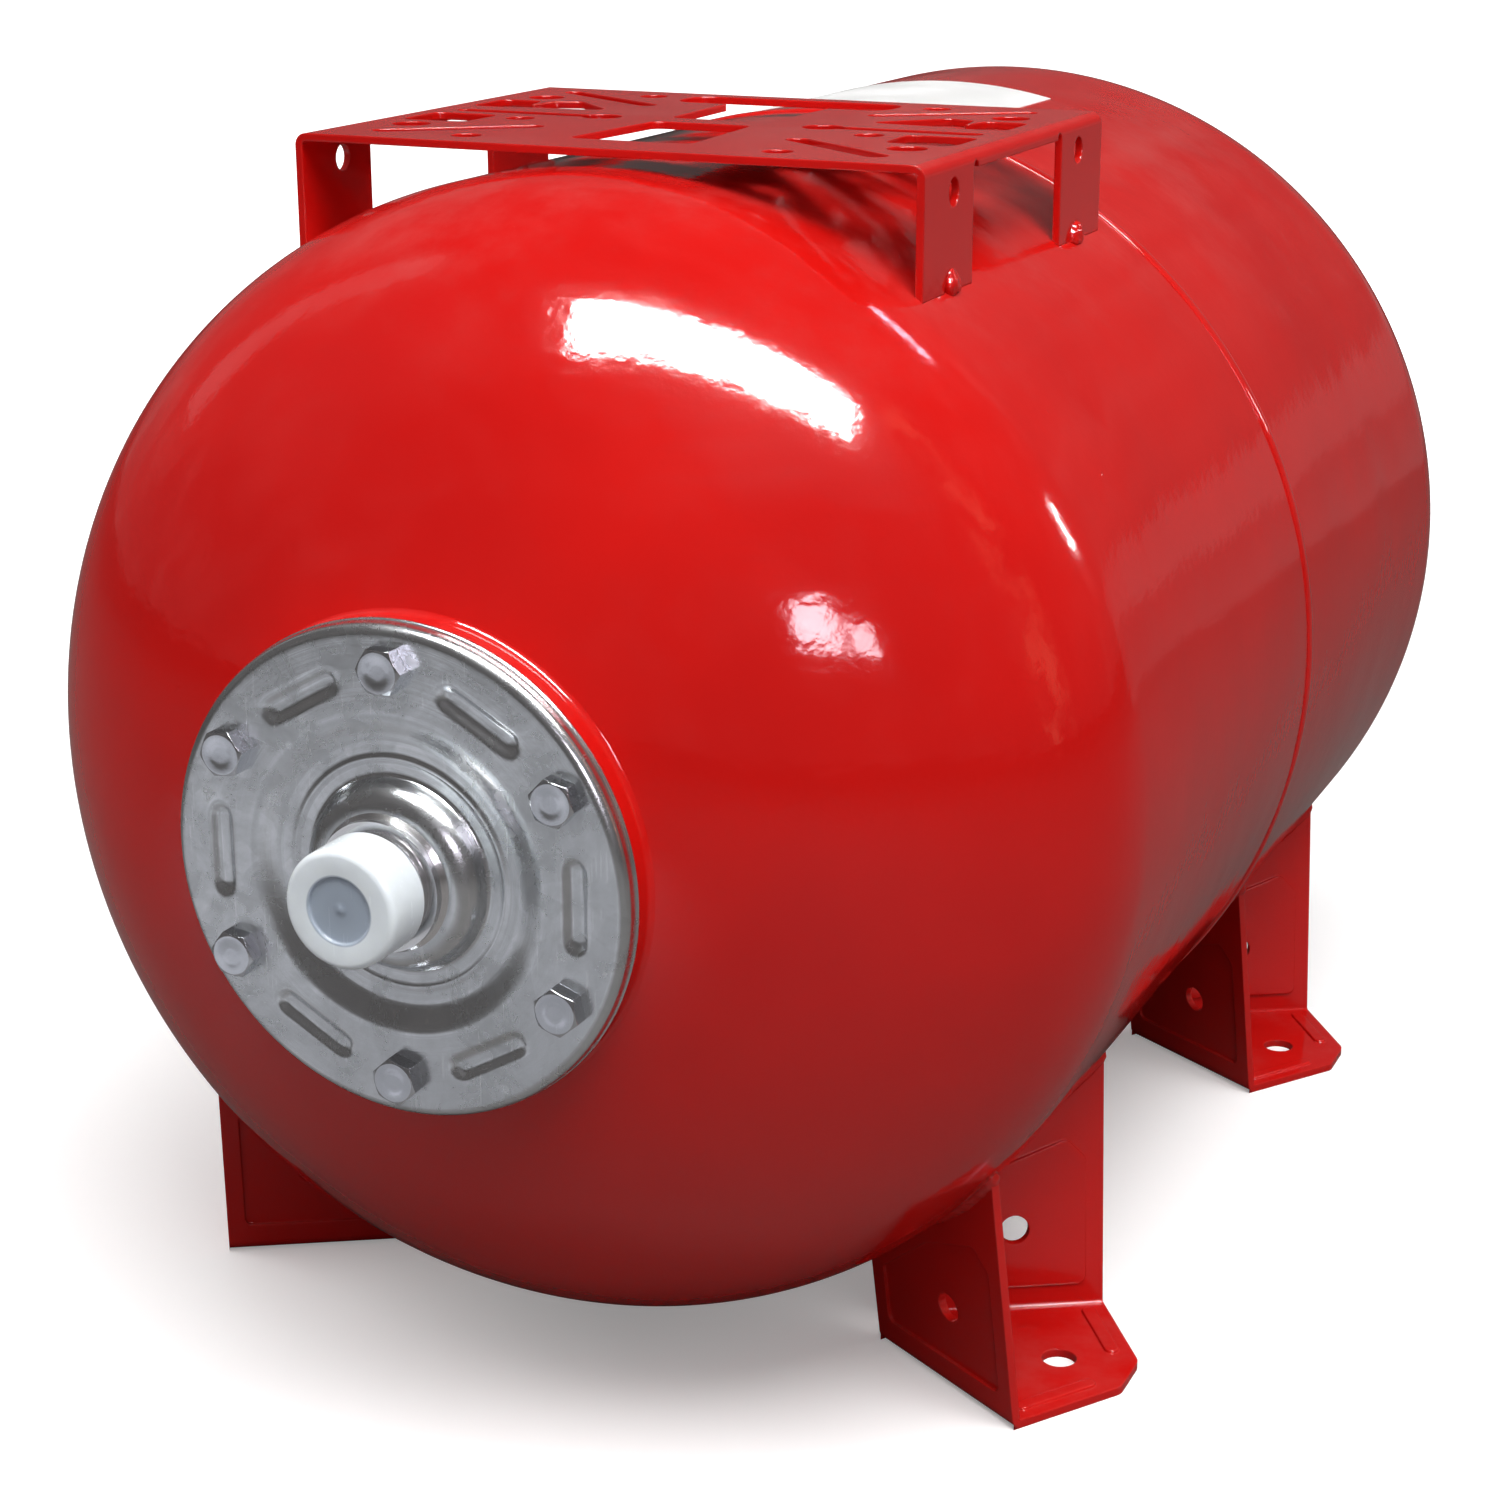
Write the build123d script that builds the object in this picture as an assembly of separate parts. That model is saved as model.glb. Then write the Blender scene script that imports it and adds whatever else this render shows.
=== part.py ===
from build123d import *
import os
from math import acos, atan2, cos, degrees, hypot, radians, sin, sqrt, tan

# Horizontal membrane pressure tank with a pump platform. Millimetres.
# The tank axis runs along Y with the water connection towards -Y, and Z is up.
# Pieces are drawn with Y = 0 at the front end of the straight shell and Z = 0 on the floor.
# The export moves them along Y so that the origin is under the middle of the whole object.

# ---- shell -------------------------------------------------------------------------------
SHELL_R = 190.0          # outer radius of the straight part
WALL = 2.0               # steel wall of both halves
HEAD_DEPTH = 122.0       # depth of each elliptical end
CYL_LENGTH = 390.0       # straight part, both halves together
FLOOR_GAP = 23.4         # underside of the shell above the floor
BEAD_WIDTH = 6.0         # girth weld, along the axis
BEAD_HEIGHT = 1.2        # girth weld, above the shell

# ---- mouth, membrane and flange ----------------------------------------------------------
RING_R = 75.5            # outside of the ring welded in the mouth
RING_BORE_R = 51.0
RING_THICK = 10.0
RING_PROUD = 7.5         # ring face in front of the shell where they meet
RING_WELD = 3.2          # leg of the fillet weld round the ring
LIP_R = 75.2             # thin edge of the membrane, visible round the flange
LIP_EDGE = 1.2           # its thickness
LIP_CLEARANCE = 0.4      # membrane inside the flange's rim
FLANGE_R = 76.1
FLANGE_SHEET = 3.0
RIM_DEPTH = 7.0          # flange face to the back of its curled rim
RIM_ROUND = 3.4          # rounding from the face into the rim
RIM_INNER_ROUND = 1.0    # the same rounding, inside the sheet
RIM_FLARE = 0.5          # turned-out edge at the back of the rim
RIM_FLARE_DEPTH = 0.9
STEP_OUTER_R = 49.0      # the face steps in from this radius ...
STEP_INNER_R = 41.0      # ... to this one
STEP_DEPTH = 2.9
STEP_BEND = 0.8          # how far the back of the step lies inside its front
BOSS_BASE_R = 29.5       # drawn boss round the water connection
BOSS_TOP_R = 21.4
BOSS_HEIGHT = 8.6        # above the inner disc
BOLT_COUNT = 6
BOLT_CIRCLE_R = 63.5
BOLT_R = 4.0             # M8
BOLT_FLATS = 13.0
BOLT_HEAD = 5.5
BOLT_LENGTH = 20.0
BOLT_CROWN = 0.35        # flat top of the head, inside its flats
BOLT_CHAMFER_ANGLE = 30.0
BOLT_TIP = 1.0           # chamfer at the end of the shank
TAP_CLEARANCE = 0.05     # bolt in its tapped hole
BOLT_CLEARANCE = 0.5     # bolt in the flange and the membrane
RIB_R = 59.5             # centre line of the pressed ribs
RIB_LENGTH = 27.0
RIB_WIDTH = 6.0
RIB_DEPTH = 1.5
RIB_ROUND = 1.05         # rounding at the bottom of a rib

# ---- water connection and its cap --------------------------------------------------------
THREAD_R = 16.62         # G1 male thread
THREAD_PITCH = 2.309
THREAD_DEPTH = 1.3
THREAD_LENGTH = 18.6
NIPPLE_BORE_R = 12.5
COLLAR_R = 20.0
COLLAR_LENGTH = 4.0
SPIGOT_R = 17.5          # part of the nipple inside the drawn boss
NIPPLE_WELD = 1.4
CAP_CLEARANCE = 0.08
CAP_WALL = 1.5
CAP_LENGTH = 17.2
CAP_GAP = 3.8            # bare thread between collar and cap
CAP_RECESS_R = 10.0
CAP_RECESS_DEPTH = 1.0

# ---- membrane bag ------------------------------------------------------------------------
BAG_WALL = 2.0
BAG_NECK_CLEARANCE = 0.6
BAG_R = 140.0
BAG_SHOULDER = 100.0     # length of the front shoulder
BAG_BODY = 330.0         # end of its straight part, from the front of the straight shell
BAG_END = 90.0           # length of the rounded rear end
BAG_FLAT_R = 8.0         # flat spot at its pole

# ---- pump platform -----------------------------------------------------------------------
PLATE_RISE = 5.9         # upper face above the top of the shell
PLATE_SHEET = 2.5
PLATE_HALF_X = 110.0
PLATE_LENGTH = 170.0     # along the tank
PLATE_FRONT = 8.0        # front edge, from the front of the straight shell
PLATE_BEND = 4.0         # outer bend radius
LEG_WIDTH = 42.5
LEG_HOLE_R = 4.5
LEG_HOLE_INSET = 25.0    # from the plate's end to the hole's centre
LEG_HOLE_DROP = 10.5     # below the upper face
LEG_NOTCH_R = 6.5        # half-round notch at the leg's foot, filled by the plug weld
END_LIP = 5.2            # lip along the end, between the legs
RELIEF_R = 2.2           # relief holes where a leg's bend ends
WIDE_HOLE_R = 6.5        # four large bolt holes
WIDE_HOLE_X = 89.0
WIDE_HOLE_FRONT = -46.0  # from the middle of the plate
WIDE_HOLE_REAR = 50.0
END_HOLE_R = 5.0         # four holes near the front and rear edges
END_HOLE_X = 55.0
END_HOLE_OUT = 69.0
MIDDLE_HOLE_R = 5.0      # two holes in front of the middle
MIDDLE_HOLE_X = 64.0
MIDDLE_HOLE_FRONT = -16.0
KEYHOLE_R = 7.0          # round end of the straight slots
KEYHOLE_X = 41.0
KEYHOLE_END_X = 94.0

# ---- feet --------------------------------------------------------------------------------
FOOT_SHEET = 3.0
FOOT_PITCH = 292.0       # front foot to rear foot
FOOT_FRONT_Y = 42.5      # middle of the front feet
FOOT_INNER_X = 91.0      # inner end of the base
FOOT_INNER_HALF = 8.5
FOOT_CORNER_X = 153.6    # outer end of the webs
FOOT_CORNER_HALF = 46.5
FOOT_TIP_X = 179.0
FOOT_TIP_HALF = 9.5
FOOT_LEAN = 7.5          # degrees that each web leans out from upright
FOOT_BEND = 4.5          # outer bend radius
FLOOR_HOLE_R = 6.0
FLOOR_HOLE_X = 153.6
WEB_HOLE_R = 5.2
WEB_HOLE_UP = 32.0
WEB_HOLE_OUT = 4.5       # from the middle of the web towards its outer end
PANEL_DEPTH = 1.2        # pressed panel on each web
PANEL_INSET = 6.5
PANEL_BOTTOM = 11.0
PANEL_TOP_OUTER = 64.0
PANEL_TOP_MIDDLE = 54.0
PANEL_TOP_INNER = 33.0
PANEL_STEP = 0.55        # where along the web its top drops, as a share of the web
PANEL_CORNER = 7.0       # cut corner at the outer end
PANEL_ROUND = 3.0
RIDGE_WIDTH = 5.0        # pressed ridge along the base's outer edges
RIDGE_HEIGHT = 0.9
RIDGE_INSET = 7.0
RIDGE_SHARE = 0.72       # length of the ridge, as a share of the edge
FOOT_TIP_ROUND = 6.0
FOOT_WELD = 3.0          # width of the bead on each side of a web
FOOT_WELD_HEIGHT = 2.2

# ---- label -------------------------------------------------------------------------------
LABEL_WIDTH = 104.0
LABEL_LENGTH = 92.0
LABEL_THICK = 0.3
LABEL_BEHIND_SEAM = 77.0 # middle of the label, from the girth seam
LABEL_X = -8.0

# ---- air valve at the rear pole ----------------------------------------------------------
VALVE_BOSS_R = 14.0
VALVE_BOSS_LENGTH = 15.0
VALVE_BOSS_PROUD = 8.0
VALVE_WELD = 3.0
STEM_THREAD_R = 6.5
STEM_THREAD_LENGTH = 9.0
STEM_FLATS = 17.0
STEM_HEX = 4.0
STEM_NECK_R = 3.85
STEM_NECK_LENGTH = 9.0
STEM_BORE_R = 2.3
STEM_RINGS = 7           # thread rings on the neck
STEM_RING_PITCH = 0.9
STEM_RING_WIDTH = 0.4
STEM_RING_DEPTH = 0.35
SEAL_CORD = 1.5          # O-ring under the stem's hexagon
CORE_LENGTH = 6.0
CORE_SUNK = 1.2          # core below the mouth of the neck
CORE_BORE_R = 1.0
CORE_CLEARANCE = 0.03
PIN_R = 0.7
PIN_TRAVEL = 1.2
PIN_DISC_R = 1.7
PIN_DISC = 0.8
PIN_SEAT_GAP = 0.05      # disc under the core
PIN_STANDS = 0.6         # pin above the core when it is pressed in
PIN_TAIL = 1.5           # pin past the end of the spring
SPRING_WIRE_R = 0.2
SPRING_R = 1.4
SPRING_LENGTH = 4.0
SPRING_TURNS = 5
COVER_WALL = 1.6
COVER_CLEARANCE = 0.08
COVER_LENGTH = 25.0
COVER_GRIP = 6.0         # how far the cover reaches over the boss
COVER_RIBS = 24
COVER_RIB_R = 0.6


def dome_y(radius, r_axis=SHELL_R, depth=HEAD_DEPTH):
    """Distance that an elliptical end stands out past the straight shell at a radius."""
    return depth * sqrt(1 - (radius / r_axis) ** 2)


# ---- places worked out from the sizes above ----------------------------------------------
AXIS_H = SHELL_R + FLOOR_GAP
PLATE_TOP = AXIS_H + SHELL_R + PLATE_RISE
RING_FACE_Y = -dome_y(RING_R) - RING_PROUD
RING_BACK_Y = RING_FACE_Y + RING_THICK
RIM_BACK_Y = RING_FACE_Y - LIP_EDGE
FACE_Y = RIM_BACK_Y - RIM_DEPTH
SHEET_BACK_Y = FACE_Y + FLANGE_SHEET
DISC_Y = FACE_Y + STEP_DEPTH
BOSS_TOP_Y = DISC_Y - BOSS_HEIGHT
COLLAR_Y = BOSS_TOP_Y - COLLAR_LENGTH
THREAD_END_Y = COLLAR_Y - THREAD_LENGTH
CAP_BACK_Y = COLLAR_Y - CAP_GAP
CAP_FACE_Y = CAP_BACK_Y - CAP_LENGTH
SEAM_Y = CYL_LENGTH / 2
LABEL_Y = SEAM_Y + LABEL_BEHIND_SEAM
BOSS_FACE_Y = CYL_LENGTH + dome_y(VALVE_BOSS_R) + VALVE_BOSS_PROUD
COVER_START_Y = BOSS_FACE_Y - COVER_GRIP
COVER_END_Y = COVER_START_Y + COVER_LENGTH
TANK_SHIFT_Y = -(CAP_FACE_Y + COVER_END_Y) / 2
PLATE_MID_Y = PLATE_FRONT + PLATE_LENGTH / 2
# In plan, a web runs inwards from the foot's corner and faces out along its normal.
WEB_LENGTH = hypot(FOOT_CORNER_X - FOOT_INNER_X, FOOT_CORNER_HALF - FOOT_INNER_HALF)
WEB_ALONG_X = (FOOT_INNER_X - FOOT_CORNER_X) / WEB_LENGTH
WEB_ALONG_Y = (FOOT_CORNER_HALF - FOOT_INNER_HALF) / WEB_LENGTH


def turned(face):
    """Turns a face, drawn with X as radius and Y along the tank, round the tank axis."""
    return Pos(0, 0, AXIS_H) * revolve(face, Axis.Y)


def outline(*points):
    return make_face(Polyline(*points, close=True))


def disc_y(radius, y0, y1, x=0.0, z=0.0):
    """A cylinder along Y from y0 to y1, placed from the tank axis."""
    length = y1 - y0
    return Pos(x, (y0 + y1) / 2, AXIS_H + z) * Rot(90, 0, 0) * Cylinder(radius, length)


def ring_y(outer, inner, y0, y1):
    return turned(outline((inner, y0), (outer, y0), (outer, y1), (inner, y1)))


def half_dome_face(r_axis, depth, start_r, straight_to):
    """Solid face under an elliptical end and the straight shell, from a start radius."""
    start = -dome_y(start_r, r_axis, depth)
    angle = degrees(atan2(start / depth, start_r / r_axis))
    arc = EllipticalCenterArc((0, 0), r_axis, depth, start_angle=angle, arc_size=-angle)
    lines = Polyline((r_axis, 0), (r_axis, straight_to), (0, straight_to), (0, start), (start_r, start))
    return make_face([arc, lines])


def half_shell(start_r, straight_to):
    outer = half_dome_face(SHELL_R, HEAD_DEPTH, start_r, straight_to)
    inner = half_dome_face(SHELL_R - WALL, HEAD_DEPTH - WALL, start_r, straight_to)
    hole = Pos(start_r / 2, 0) * Rectangle(start_r, 4 * HEAD_DEPTH)
    return turned(outer - inner - hole)


def front_shell():
    return half_shell(RING_R, SEAM_Y)


def rear_shell():
    half = half_shell(VALVE_BOSS_R, CYL_LENGTH - SEAM_Y)
    return Pos(0, CYL_LENGTH, 0) * mirror(half, Plane.XZ)


def shell_solid(extra=0.0):
    """The whole shell as a filled solid, used to cut what stands on it."""
    r_axis = SHELL_R + extra
    depth = HEAD_DEPTH + extra
    half = make_face([
        EllipticalCenterArc((0, 0), r_axis, depth, start_angle=-90, arc_size=90),
        Polyline((r_axis, 0), (r_axis, CYL_LENGTH)),
        EllipticalCenterArc((0, CYL_LENGTH), r_axis, depth, start_angle=0, arc_size=90),
        Polyline((0, CYL_LENGTH + depth), (0, -depth)),
    ])
    return turned(half)


def girth_weld():
    half = BEAD_WIDTH / 2
    arc = ThreePointArc((SHELL_R, SEAM_Y - half), (SHELL_R + BEAD_HEIGHT, SEAM_Y), (SHELL_R, SEAM_Y + half))
    return turned(make_face([arc, Line((SHELL_R, SEAM_Y + half), (SHELL_R, SEAM_Y - half))]))


def on_bolt_circle(shape, turn=0.0):
    """Copies of a shape drawn at the top of the bolt circle, one at each bolt."""
    step = 360 / BOLT_COUNT
    axis = Axis((0, 0, AXIS_H), (0, 1, 0))
    return [shape.rotate(axis, turn + step * i) for i in range(BOLT_COUNT)]


def bolt_holes(radius, y0, y1):
    return on_bolt_circle(disc_y(radius, y0, y1, z=BOLT_CIRCLE_R))


def mouth_ring():
    ring = ring_y(RING_R, RING_BORE_R, RING_FACE_Y, RING_BACK_Y)
    return ring - bolt_holes(BOLT_R + TAP_CLEARANCE, RING_FACE_Y - 1, RING_BACK_Y + 1)


def mouth_weld():
    """Fillet bead in the corner between the ring and the shell."""
    outer_r = RING_R + RING_WELD
    corner = (RING_R, -dome_y(RING_R) - RING_WELD)
    bead = outline(corner, (outer_r, -dome_y(outer_r)), (RING_R, -dome_y(outer_r)))
    return turned(bead) - shell_solid()


def membrane():
    """Rubber bag with the thick lip that the flange clamps."""
    neck_r = RING_BORE_R - BAG_NECK_CLEARANCE
    shoulder_y = RING_BACK_Y + BAG_WALL + 4
    shoulder_end = shoulder_y + BAG_SHOULDER

    def bag(offset):
        wide = BAG_R - offset
        narrow = neck_r - offset
        start = shoulder_y + offset
        turn = acos(BAG_FLAT_R / wide)
        end = BAG_BODY + (BAG_END - offset) * sin(turn)
        return make_face([
            Polyline((0, SHEET_BACK_Y - 1), (narrow, SHEET_BACK_Y - 1), (narrow, start)),
            EllipticalCenterArc((narrow, shoulder_end), wide - narrow, shoulder_end - start,
                                start_angle=-90, arc_size=90),
            Polyline((wide, shoulder_end), (wide, BAG_BODY)),
            EllipticalCenterArc((0, BAG_BODY), wide, BAG_END - offset,
                                start_angle=0, arc_size=degrees(turn)),
            Polyline((BAG_FLAT_R, end), (0, end), (0, SHEET_BACK_Y - 1)),
        ])

    front_cut = Rectangle(4 * BAG_R, 100, align=(Align.CENTER, Align.MAX))
    skin = bag(0) - bag(BAG_WALL) - Pos(0, SHEET_BACK_Y) * front_cut
    seat_r = FLANGE_R - FLANGE_SHEET - LIP_CLEARANCE
    lip = outline(
        (neck_r - BAG_WALL / 2, SHEET_BACK_Y), (seat_r - RIM_INNER_ROUND, SHEET_BACK_Y),
        (seat_r, SHEET_BACK_Y + RIM_INNER_ROUND), (seat_r, RIM_BACK_Y), (LIP_R, RIM_BACK_Y),
        (LIP_R, RING_FACE_Y), (neck_r - BAG_WALL / 2, RING_FACE_Y))
    body = turned(skin + lip)
    return body - bolt_holes(BOLT_R + BOLT_CLEARANCE, SHEET_BACK_Y - 1, RING_FACE_Y + 1)


def flange():
    """Pressed plate: curled rim, flat bolt face, stepped-in disc and a drawn boss."""
    rim_r = FLANGE_R + RIM_FLARE
    under_r = FLANGE_R - FLANGE_SHEET
    boss_inner = BOSS_BASE_R - FLANGE_SHEET
    profile = make_face([
        Polyline((SPIGOT_R, BOSS_TOP_Y), (BOSS_TOP_R, BOSS_TOP_Y)),
        EllipticalCenterArc((BOSS_TOP_R, DISC_Y), BOSS_BASE_R - BOSS_TOP_R, BOSS_HEIGHT,
                            start_angle=-90, arc_size=90),
        Polyline((BOSS_BASE_R, DISC_Y), (STEP_INNER_R, DISC_Y), (STEP_OUTER_R, FACE_Y),
                 (FLANGE_R - RIM_ROUND, FACE_Y)),
        CenterArc((FLANGE_R - RIM_ROUND, FACE_Y + RIM_ROUND), RIM_ROUND, -90, 90),
        Polyline((FLANGE_R, FACE_Y + RIM_ROUND), (FLANGE_R, RIM_BACK_Y - RIM_FLARE_DEPTH),
                 (rim_r, RIM_BACK_Y - RIM_FLARE_DEPTH), (rim_r, RIM_BACK_Y), (under_r, RIM_BACK_Y),
                 (under_r, SHEET_BACK_Y + RIM_INNER_ROUND)),
        CenterArc((under_r - RIM_INNER_ROUND, SHEET_BACK_Y + RIM_INNER_ROUND), RIM_INNER_ROUND, 0, -90),
        Polyline((under_r - RIM_INNER_ROUND, SHEET_BACK_Y), (STEP_OUTER_R - STEP_BEND, SHEET_BACK_Y),
                 (STEP_INNER_R - STEP_BEND, DISC_Y + FLANGE_SHEET), (boss_inner, DISC_Y + FLANGE_SHEET)),
        Polyline((boss_inner, DISC_Y + FLANGE_SHEET), (SPIGOT_R, DISC_Y - BOSS_HEIGHT / 2),
                 (SPIGOT_R, BOSS_TOP_Y)),
    ])
    plate = turned(profile) - bolt_holes(BOLT_R + BOLT_CLEARANCE, FACE_Y - 1, SHEET_BACK_Y + 1)
    rib_plan = SlotOverall(RIB_LENGTH, RIB_WIDTH)
    rib_cut = Plane(origin=(0, FACE_Y, AXIS_H + RIB_R), x_dir=(1, 0, 0), z_dir=(0, 1, 0)) * rib_plan
    pocket = extrude(rib_cut, RIB_DEPTH, dir=(0, 1, 0))
    pocket = fillet(pocket.faces().sort_by(Axis.Y)[-1].edges(), RIB_ROUND)
    plate -= on_bolt_circle(pocket, turn=180 / BOLT_COUNT)
    return plate


def hex_bolt_head():
    flat = RegularPolygon(BOLT_FLATS / 2, 6, major_radius=False, rotation=30)
    face = Plane(origin=(0, FACE_Y, AXIS_H + BOLT_CIRCLE_R), x_dir=(1, 0, 0), z_dir=(0, -1, 0)) * flat
    head = extrude(face, BOLT_HEAD, dir=(0, -1, 0))
    # The corners are turned off to a flat round crown.
    corner_r = BOLT_FLATS / sqrt(3)
    flat_r = BOLT_FLATS / 2 - BOLT_CROWN
    drop = (corner_r - flat_r) * tan(radians(BOLT_CHAMFER_ANGLE))
    top = FACE_Y - BOLT_HEAD
    cone = outline((0, top), (flat_r, top), (corner_r, top + drop), (corner_r, FACE_Y), (0, FACE_Y))
    return head & (Pos(0, 0, AXIS_H + BOLT_CIRCLE_R) * revolve(cone, Axis.Y))


def flange_bolts():
    shank = disc_y(BOLT_R, FACE_Y, FACE_Y + BOLT_LENGTH, z=BOLT_CIRCLE_R)
    tip_edge = shank.edges().filter_by(GeomType.CIRCLE).sort_by(Axis.Y)[-1]
    bolt = hex_bolt_head() + chamfer(tip_edge, BOLT_TIP)
    return Compound(on_bolt_circle(bolt))


def thread_profile(start_y, turns):
    """Points of a ring thread that runs towards -Y from start_y."""
    root = THREAD_R - THREAD_DEPTH
    points = []
    for i in range(turns):
        y = start_y - i * THREAD_PITCH
        points += [(root, y - 0.15), (THREAD_R, y - 0.95), (THREAD_R, y - 1.35), (root, y - 2.15)]
    return points


def connector_nipple():
    """Male water connection: spigot in the boss, collar, thread and bore."""
    turns = int((THREAD_LENGTH - 1) / THREAD_PITCH)
    inside_y = DISC_Y + FLANGE_SHEET
    thread = thread_profile(COLLAR_Y, turns)
    lead_r = THREAD_R - THREAD_DEPTH
    body = outline(
        (NIPPLE_BORE_R, inside_y), (SPIGOT_R, inside_y), (SPIGOT_R, BOSS_TOP_Y), (COLLAR_R, BOSS_TOP_Y),
        (COLLAR_R, COLLAR_Y), (lead_r, COLLAR_Y), *thread, (lead_r, THREAD_END_Y + 0.3),
        (lead_r - 0.3, THREAD_END_Y), (NIPPLE_BORE_R, THREAD_END_Y))
    return turned(body)


def nipple_weld():
    """Bead round the collar, on the shoulder of the drawn boss."""
    edge_r = COLLAR_R + NIPPLE_WELD
    bead = outline((COLLAR_R, BOSS_TOP_Y), (edge_r, BOSS_TOP_Y), (COLLAR_R, BOSS_TOP_Y - NIPPLE_WELD))
    return turned(bead)


def thread_cap():
    """Push-on cap over the thread, with a shallow disc sunk in its face."""
    inner = THREAD_R + CAP_CLEARANCE
    outer = inner + CAP_WALL
    floor_y = CAP_FACE_Y + CAP_RECESS_DEPTH + CAP_WALL - 0.4
    cup = outline(
        (0, CAP_FACE_Y + CAP_RECESS_DEPTH), (CAP_RECESS_R, CAP_FACE_Y + CAP_RECESS_DEPTH),
        (CAP_RECESS_R, CAP_FACE_Y), (outer - 1.0, CAP_FACE_Y), (outer - 0.25, CAP_FACE_Y + 0.35),
        (outer, CAP_FACE_Y + 1.2), (outer, CAP_BACK_Y), (inner, CAP_BACK_Y), (inner, floor_y), (0, floor_y))
    return turned(cup)


def plate_slot(x0, w0, x1, w1, width):
    """Cutter for a slot in the plate between two end centres, measured from its middle."""
    length = hypot(x1 - x0, w1 - w0)
    slot = SlotCenterToCenter(length, width)
    turn = degrees(atan2(w1 - w0, x1 - x0))
    return Pos((x0 + x1) / 2, (w0 + w1) / 2) * Rot(0, 0, turn) * slot


def plate_window(points, radius):
    window = outline(*points)
    return fillet(window.vertices(), radius)


def plate_openings():
    """Plan of every hole in the upper plate: a fan of slots, holes and windows at each end."""
    plan = Sketch()
    for side in (-1, 1):
        plan += Pos(side * KEYHOLE_X, 0) * Circle(KEYHOLE_R)
        plan += plate_slot(side * KEYHOLE_X, 0, side * KEYHOLE_END_X, 0, 6.5)
        plan += plate_slot(side * 48, -37, side * 87, -67, 8)
        plan += plate_slot(side * 44, 41, side * 88, 70, 7)
        plan += Pos(side * WIDE_HOLE_X, WIDE_HOLE_FRONT) * Circle(WIDE_HOLE_R)
        plan += Pos(side * WIDE_HOLE_X, WIDE_HOLE_REAR) * Circle(WIDE_HOLE_R)
        plan += Pos(side * MIDDLE_HOLE_X, MIDDLE_HOLE_FRONT) * Circle(MIDDLE_HOLE_R)
        for end in (-1, 1):
            plan += Pos(side * END_HOLE_X, end * END_HOLE_OUT) * Circle(END_HOLE_R)
        plan += plate_window([(side * 75, -10), (side * 100, -10), (side * 100, -35), (side * 76, -33)], 4)
        plan += plate_window([(side * 48, 19), (side * 83, 16), (side * 80, 39), (side * 70, 42)], 3)
        plan += plate_window([(side * 80, 14), (side * 100, 14), (side * 100, 38), (side * 84, 38)], 4)
    plan += plate_window([(-18, -6), (18, -6), (22, -62), (-22, -62)], 4)
    stem = plate_window([(-18, 6), (18, 6), (20, 66), (-20, 66)], 4)
    lobes = Pos(0, 66) * RectangleRounded(82, 22, 8)
    return plan + stem + lobes


def pump_platform():
    outer = Rectangle(2 * PLATE_HALF_X, PLATE_TOP, align=(Align.CENTER, Align.MAX))
    outer = fillet(outer.vertices().sort_by(Axis.Y)[-2:], PLATE_BEND)
    inner = Rectangle(2 * (PLATE_HALF_X - PLATE_SHEET), PLATE_TOP, align=(Align.CENTER, Align.MAX))
    inner = fillet(inner.vertices().sort_by(Axis.Y)[-2:], PLATE_BEND - PLATE_SHEET)
    section = outer - Pos(0, -PLATE_SHEET) * inner
    start = Plane(origin=(0, PLATE_FRONT, PLATE_TOP), x_dir=(1, 0, 0), z_dir=(0, -1, 0))
    body = extrude(start * section, PLATE_LENGTH, dir=(0, 1, 0))
    # Nothing of the section is kept below the tank axis.
    body &= Pos(0, PLATE_MID_Y, PLATE_TOP) * Box(4 * PLATE_HALF_X, 2 * PLATE_LENGTH, 2 * (PLATE_TOP - AXIS_H))
    # Between the legs only a short lip is left along each end.
    gap = PLATE_LENGTH - 2 * LEG_WIDTH
    window = Box(PLATE_HALF_X, gap, PLATE_TOP, align=(Align.MIN, Align.CENTER, Align.MAX))
    lip_z = PLATE_TOP - END_LIP
    relief = Rot(0, 90, 0) * Cylinder(RELIEF_R, PLATE_HALF_X, align=(Align.CENTER, Align.CENTER, Align.MIN))
    hole = Rot(0, 90, 0) * Cylinder(LEG_HOLE_R, PLATE_HALF_X, align=(Align.CENTER, Align.CENTER, Align.MIN))
    notch = Rot(0, 90, 0) * Cylinder(LEG_NOTCH_R, PLATE_HALF_X, align=(Align.CENTER, Align.CENTER, Align.MIN))
    reach = PLATE_HALF_X - PLATE_BEND - 1
    cuts = [Pos(reach, PLATE_MID_Y, lip_z) * window]
    for end in (-1, 1):
        leg_y = PLATE_MID_Y + end * (PLATE_LENGTH / 2 - LEG_HOLE_INSET)
        cuts.append(Pos(reach, leg_y, PLATE_TOP - LEG_HOLE_DROP) * hole)
        cuts.append(Pos(reach, leg_y, leg_foot_z()) * notch)
        cuts.append(Pos(reach, PLATE_MID_Y + end * (gap / 2 - RELIEF_R), lip_z) * relief)
    for cut in cuts:
        body -= cut
        body -= mirror(cut, Plane.YZ)
    holes = Plane(origin=(0, PLATE_MID_Y, PLATE_TOP - PLATE_SHEET - 1)) * plate_openings()
    body -= extrude(holes, PLATE_SHEET + 2, dir=(0, 0, 1))
    return body - shell_solid()


def leg_foot_z():
    """Height of the shell under the outer face of a platform leg."""
    return AXIS_H + sqrt(SHELL_R ** 2 - PLATE_HALF_X ** 2)


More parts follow.
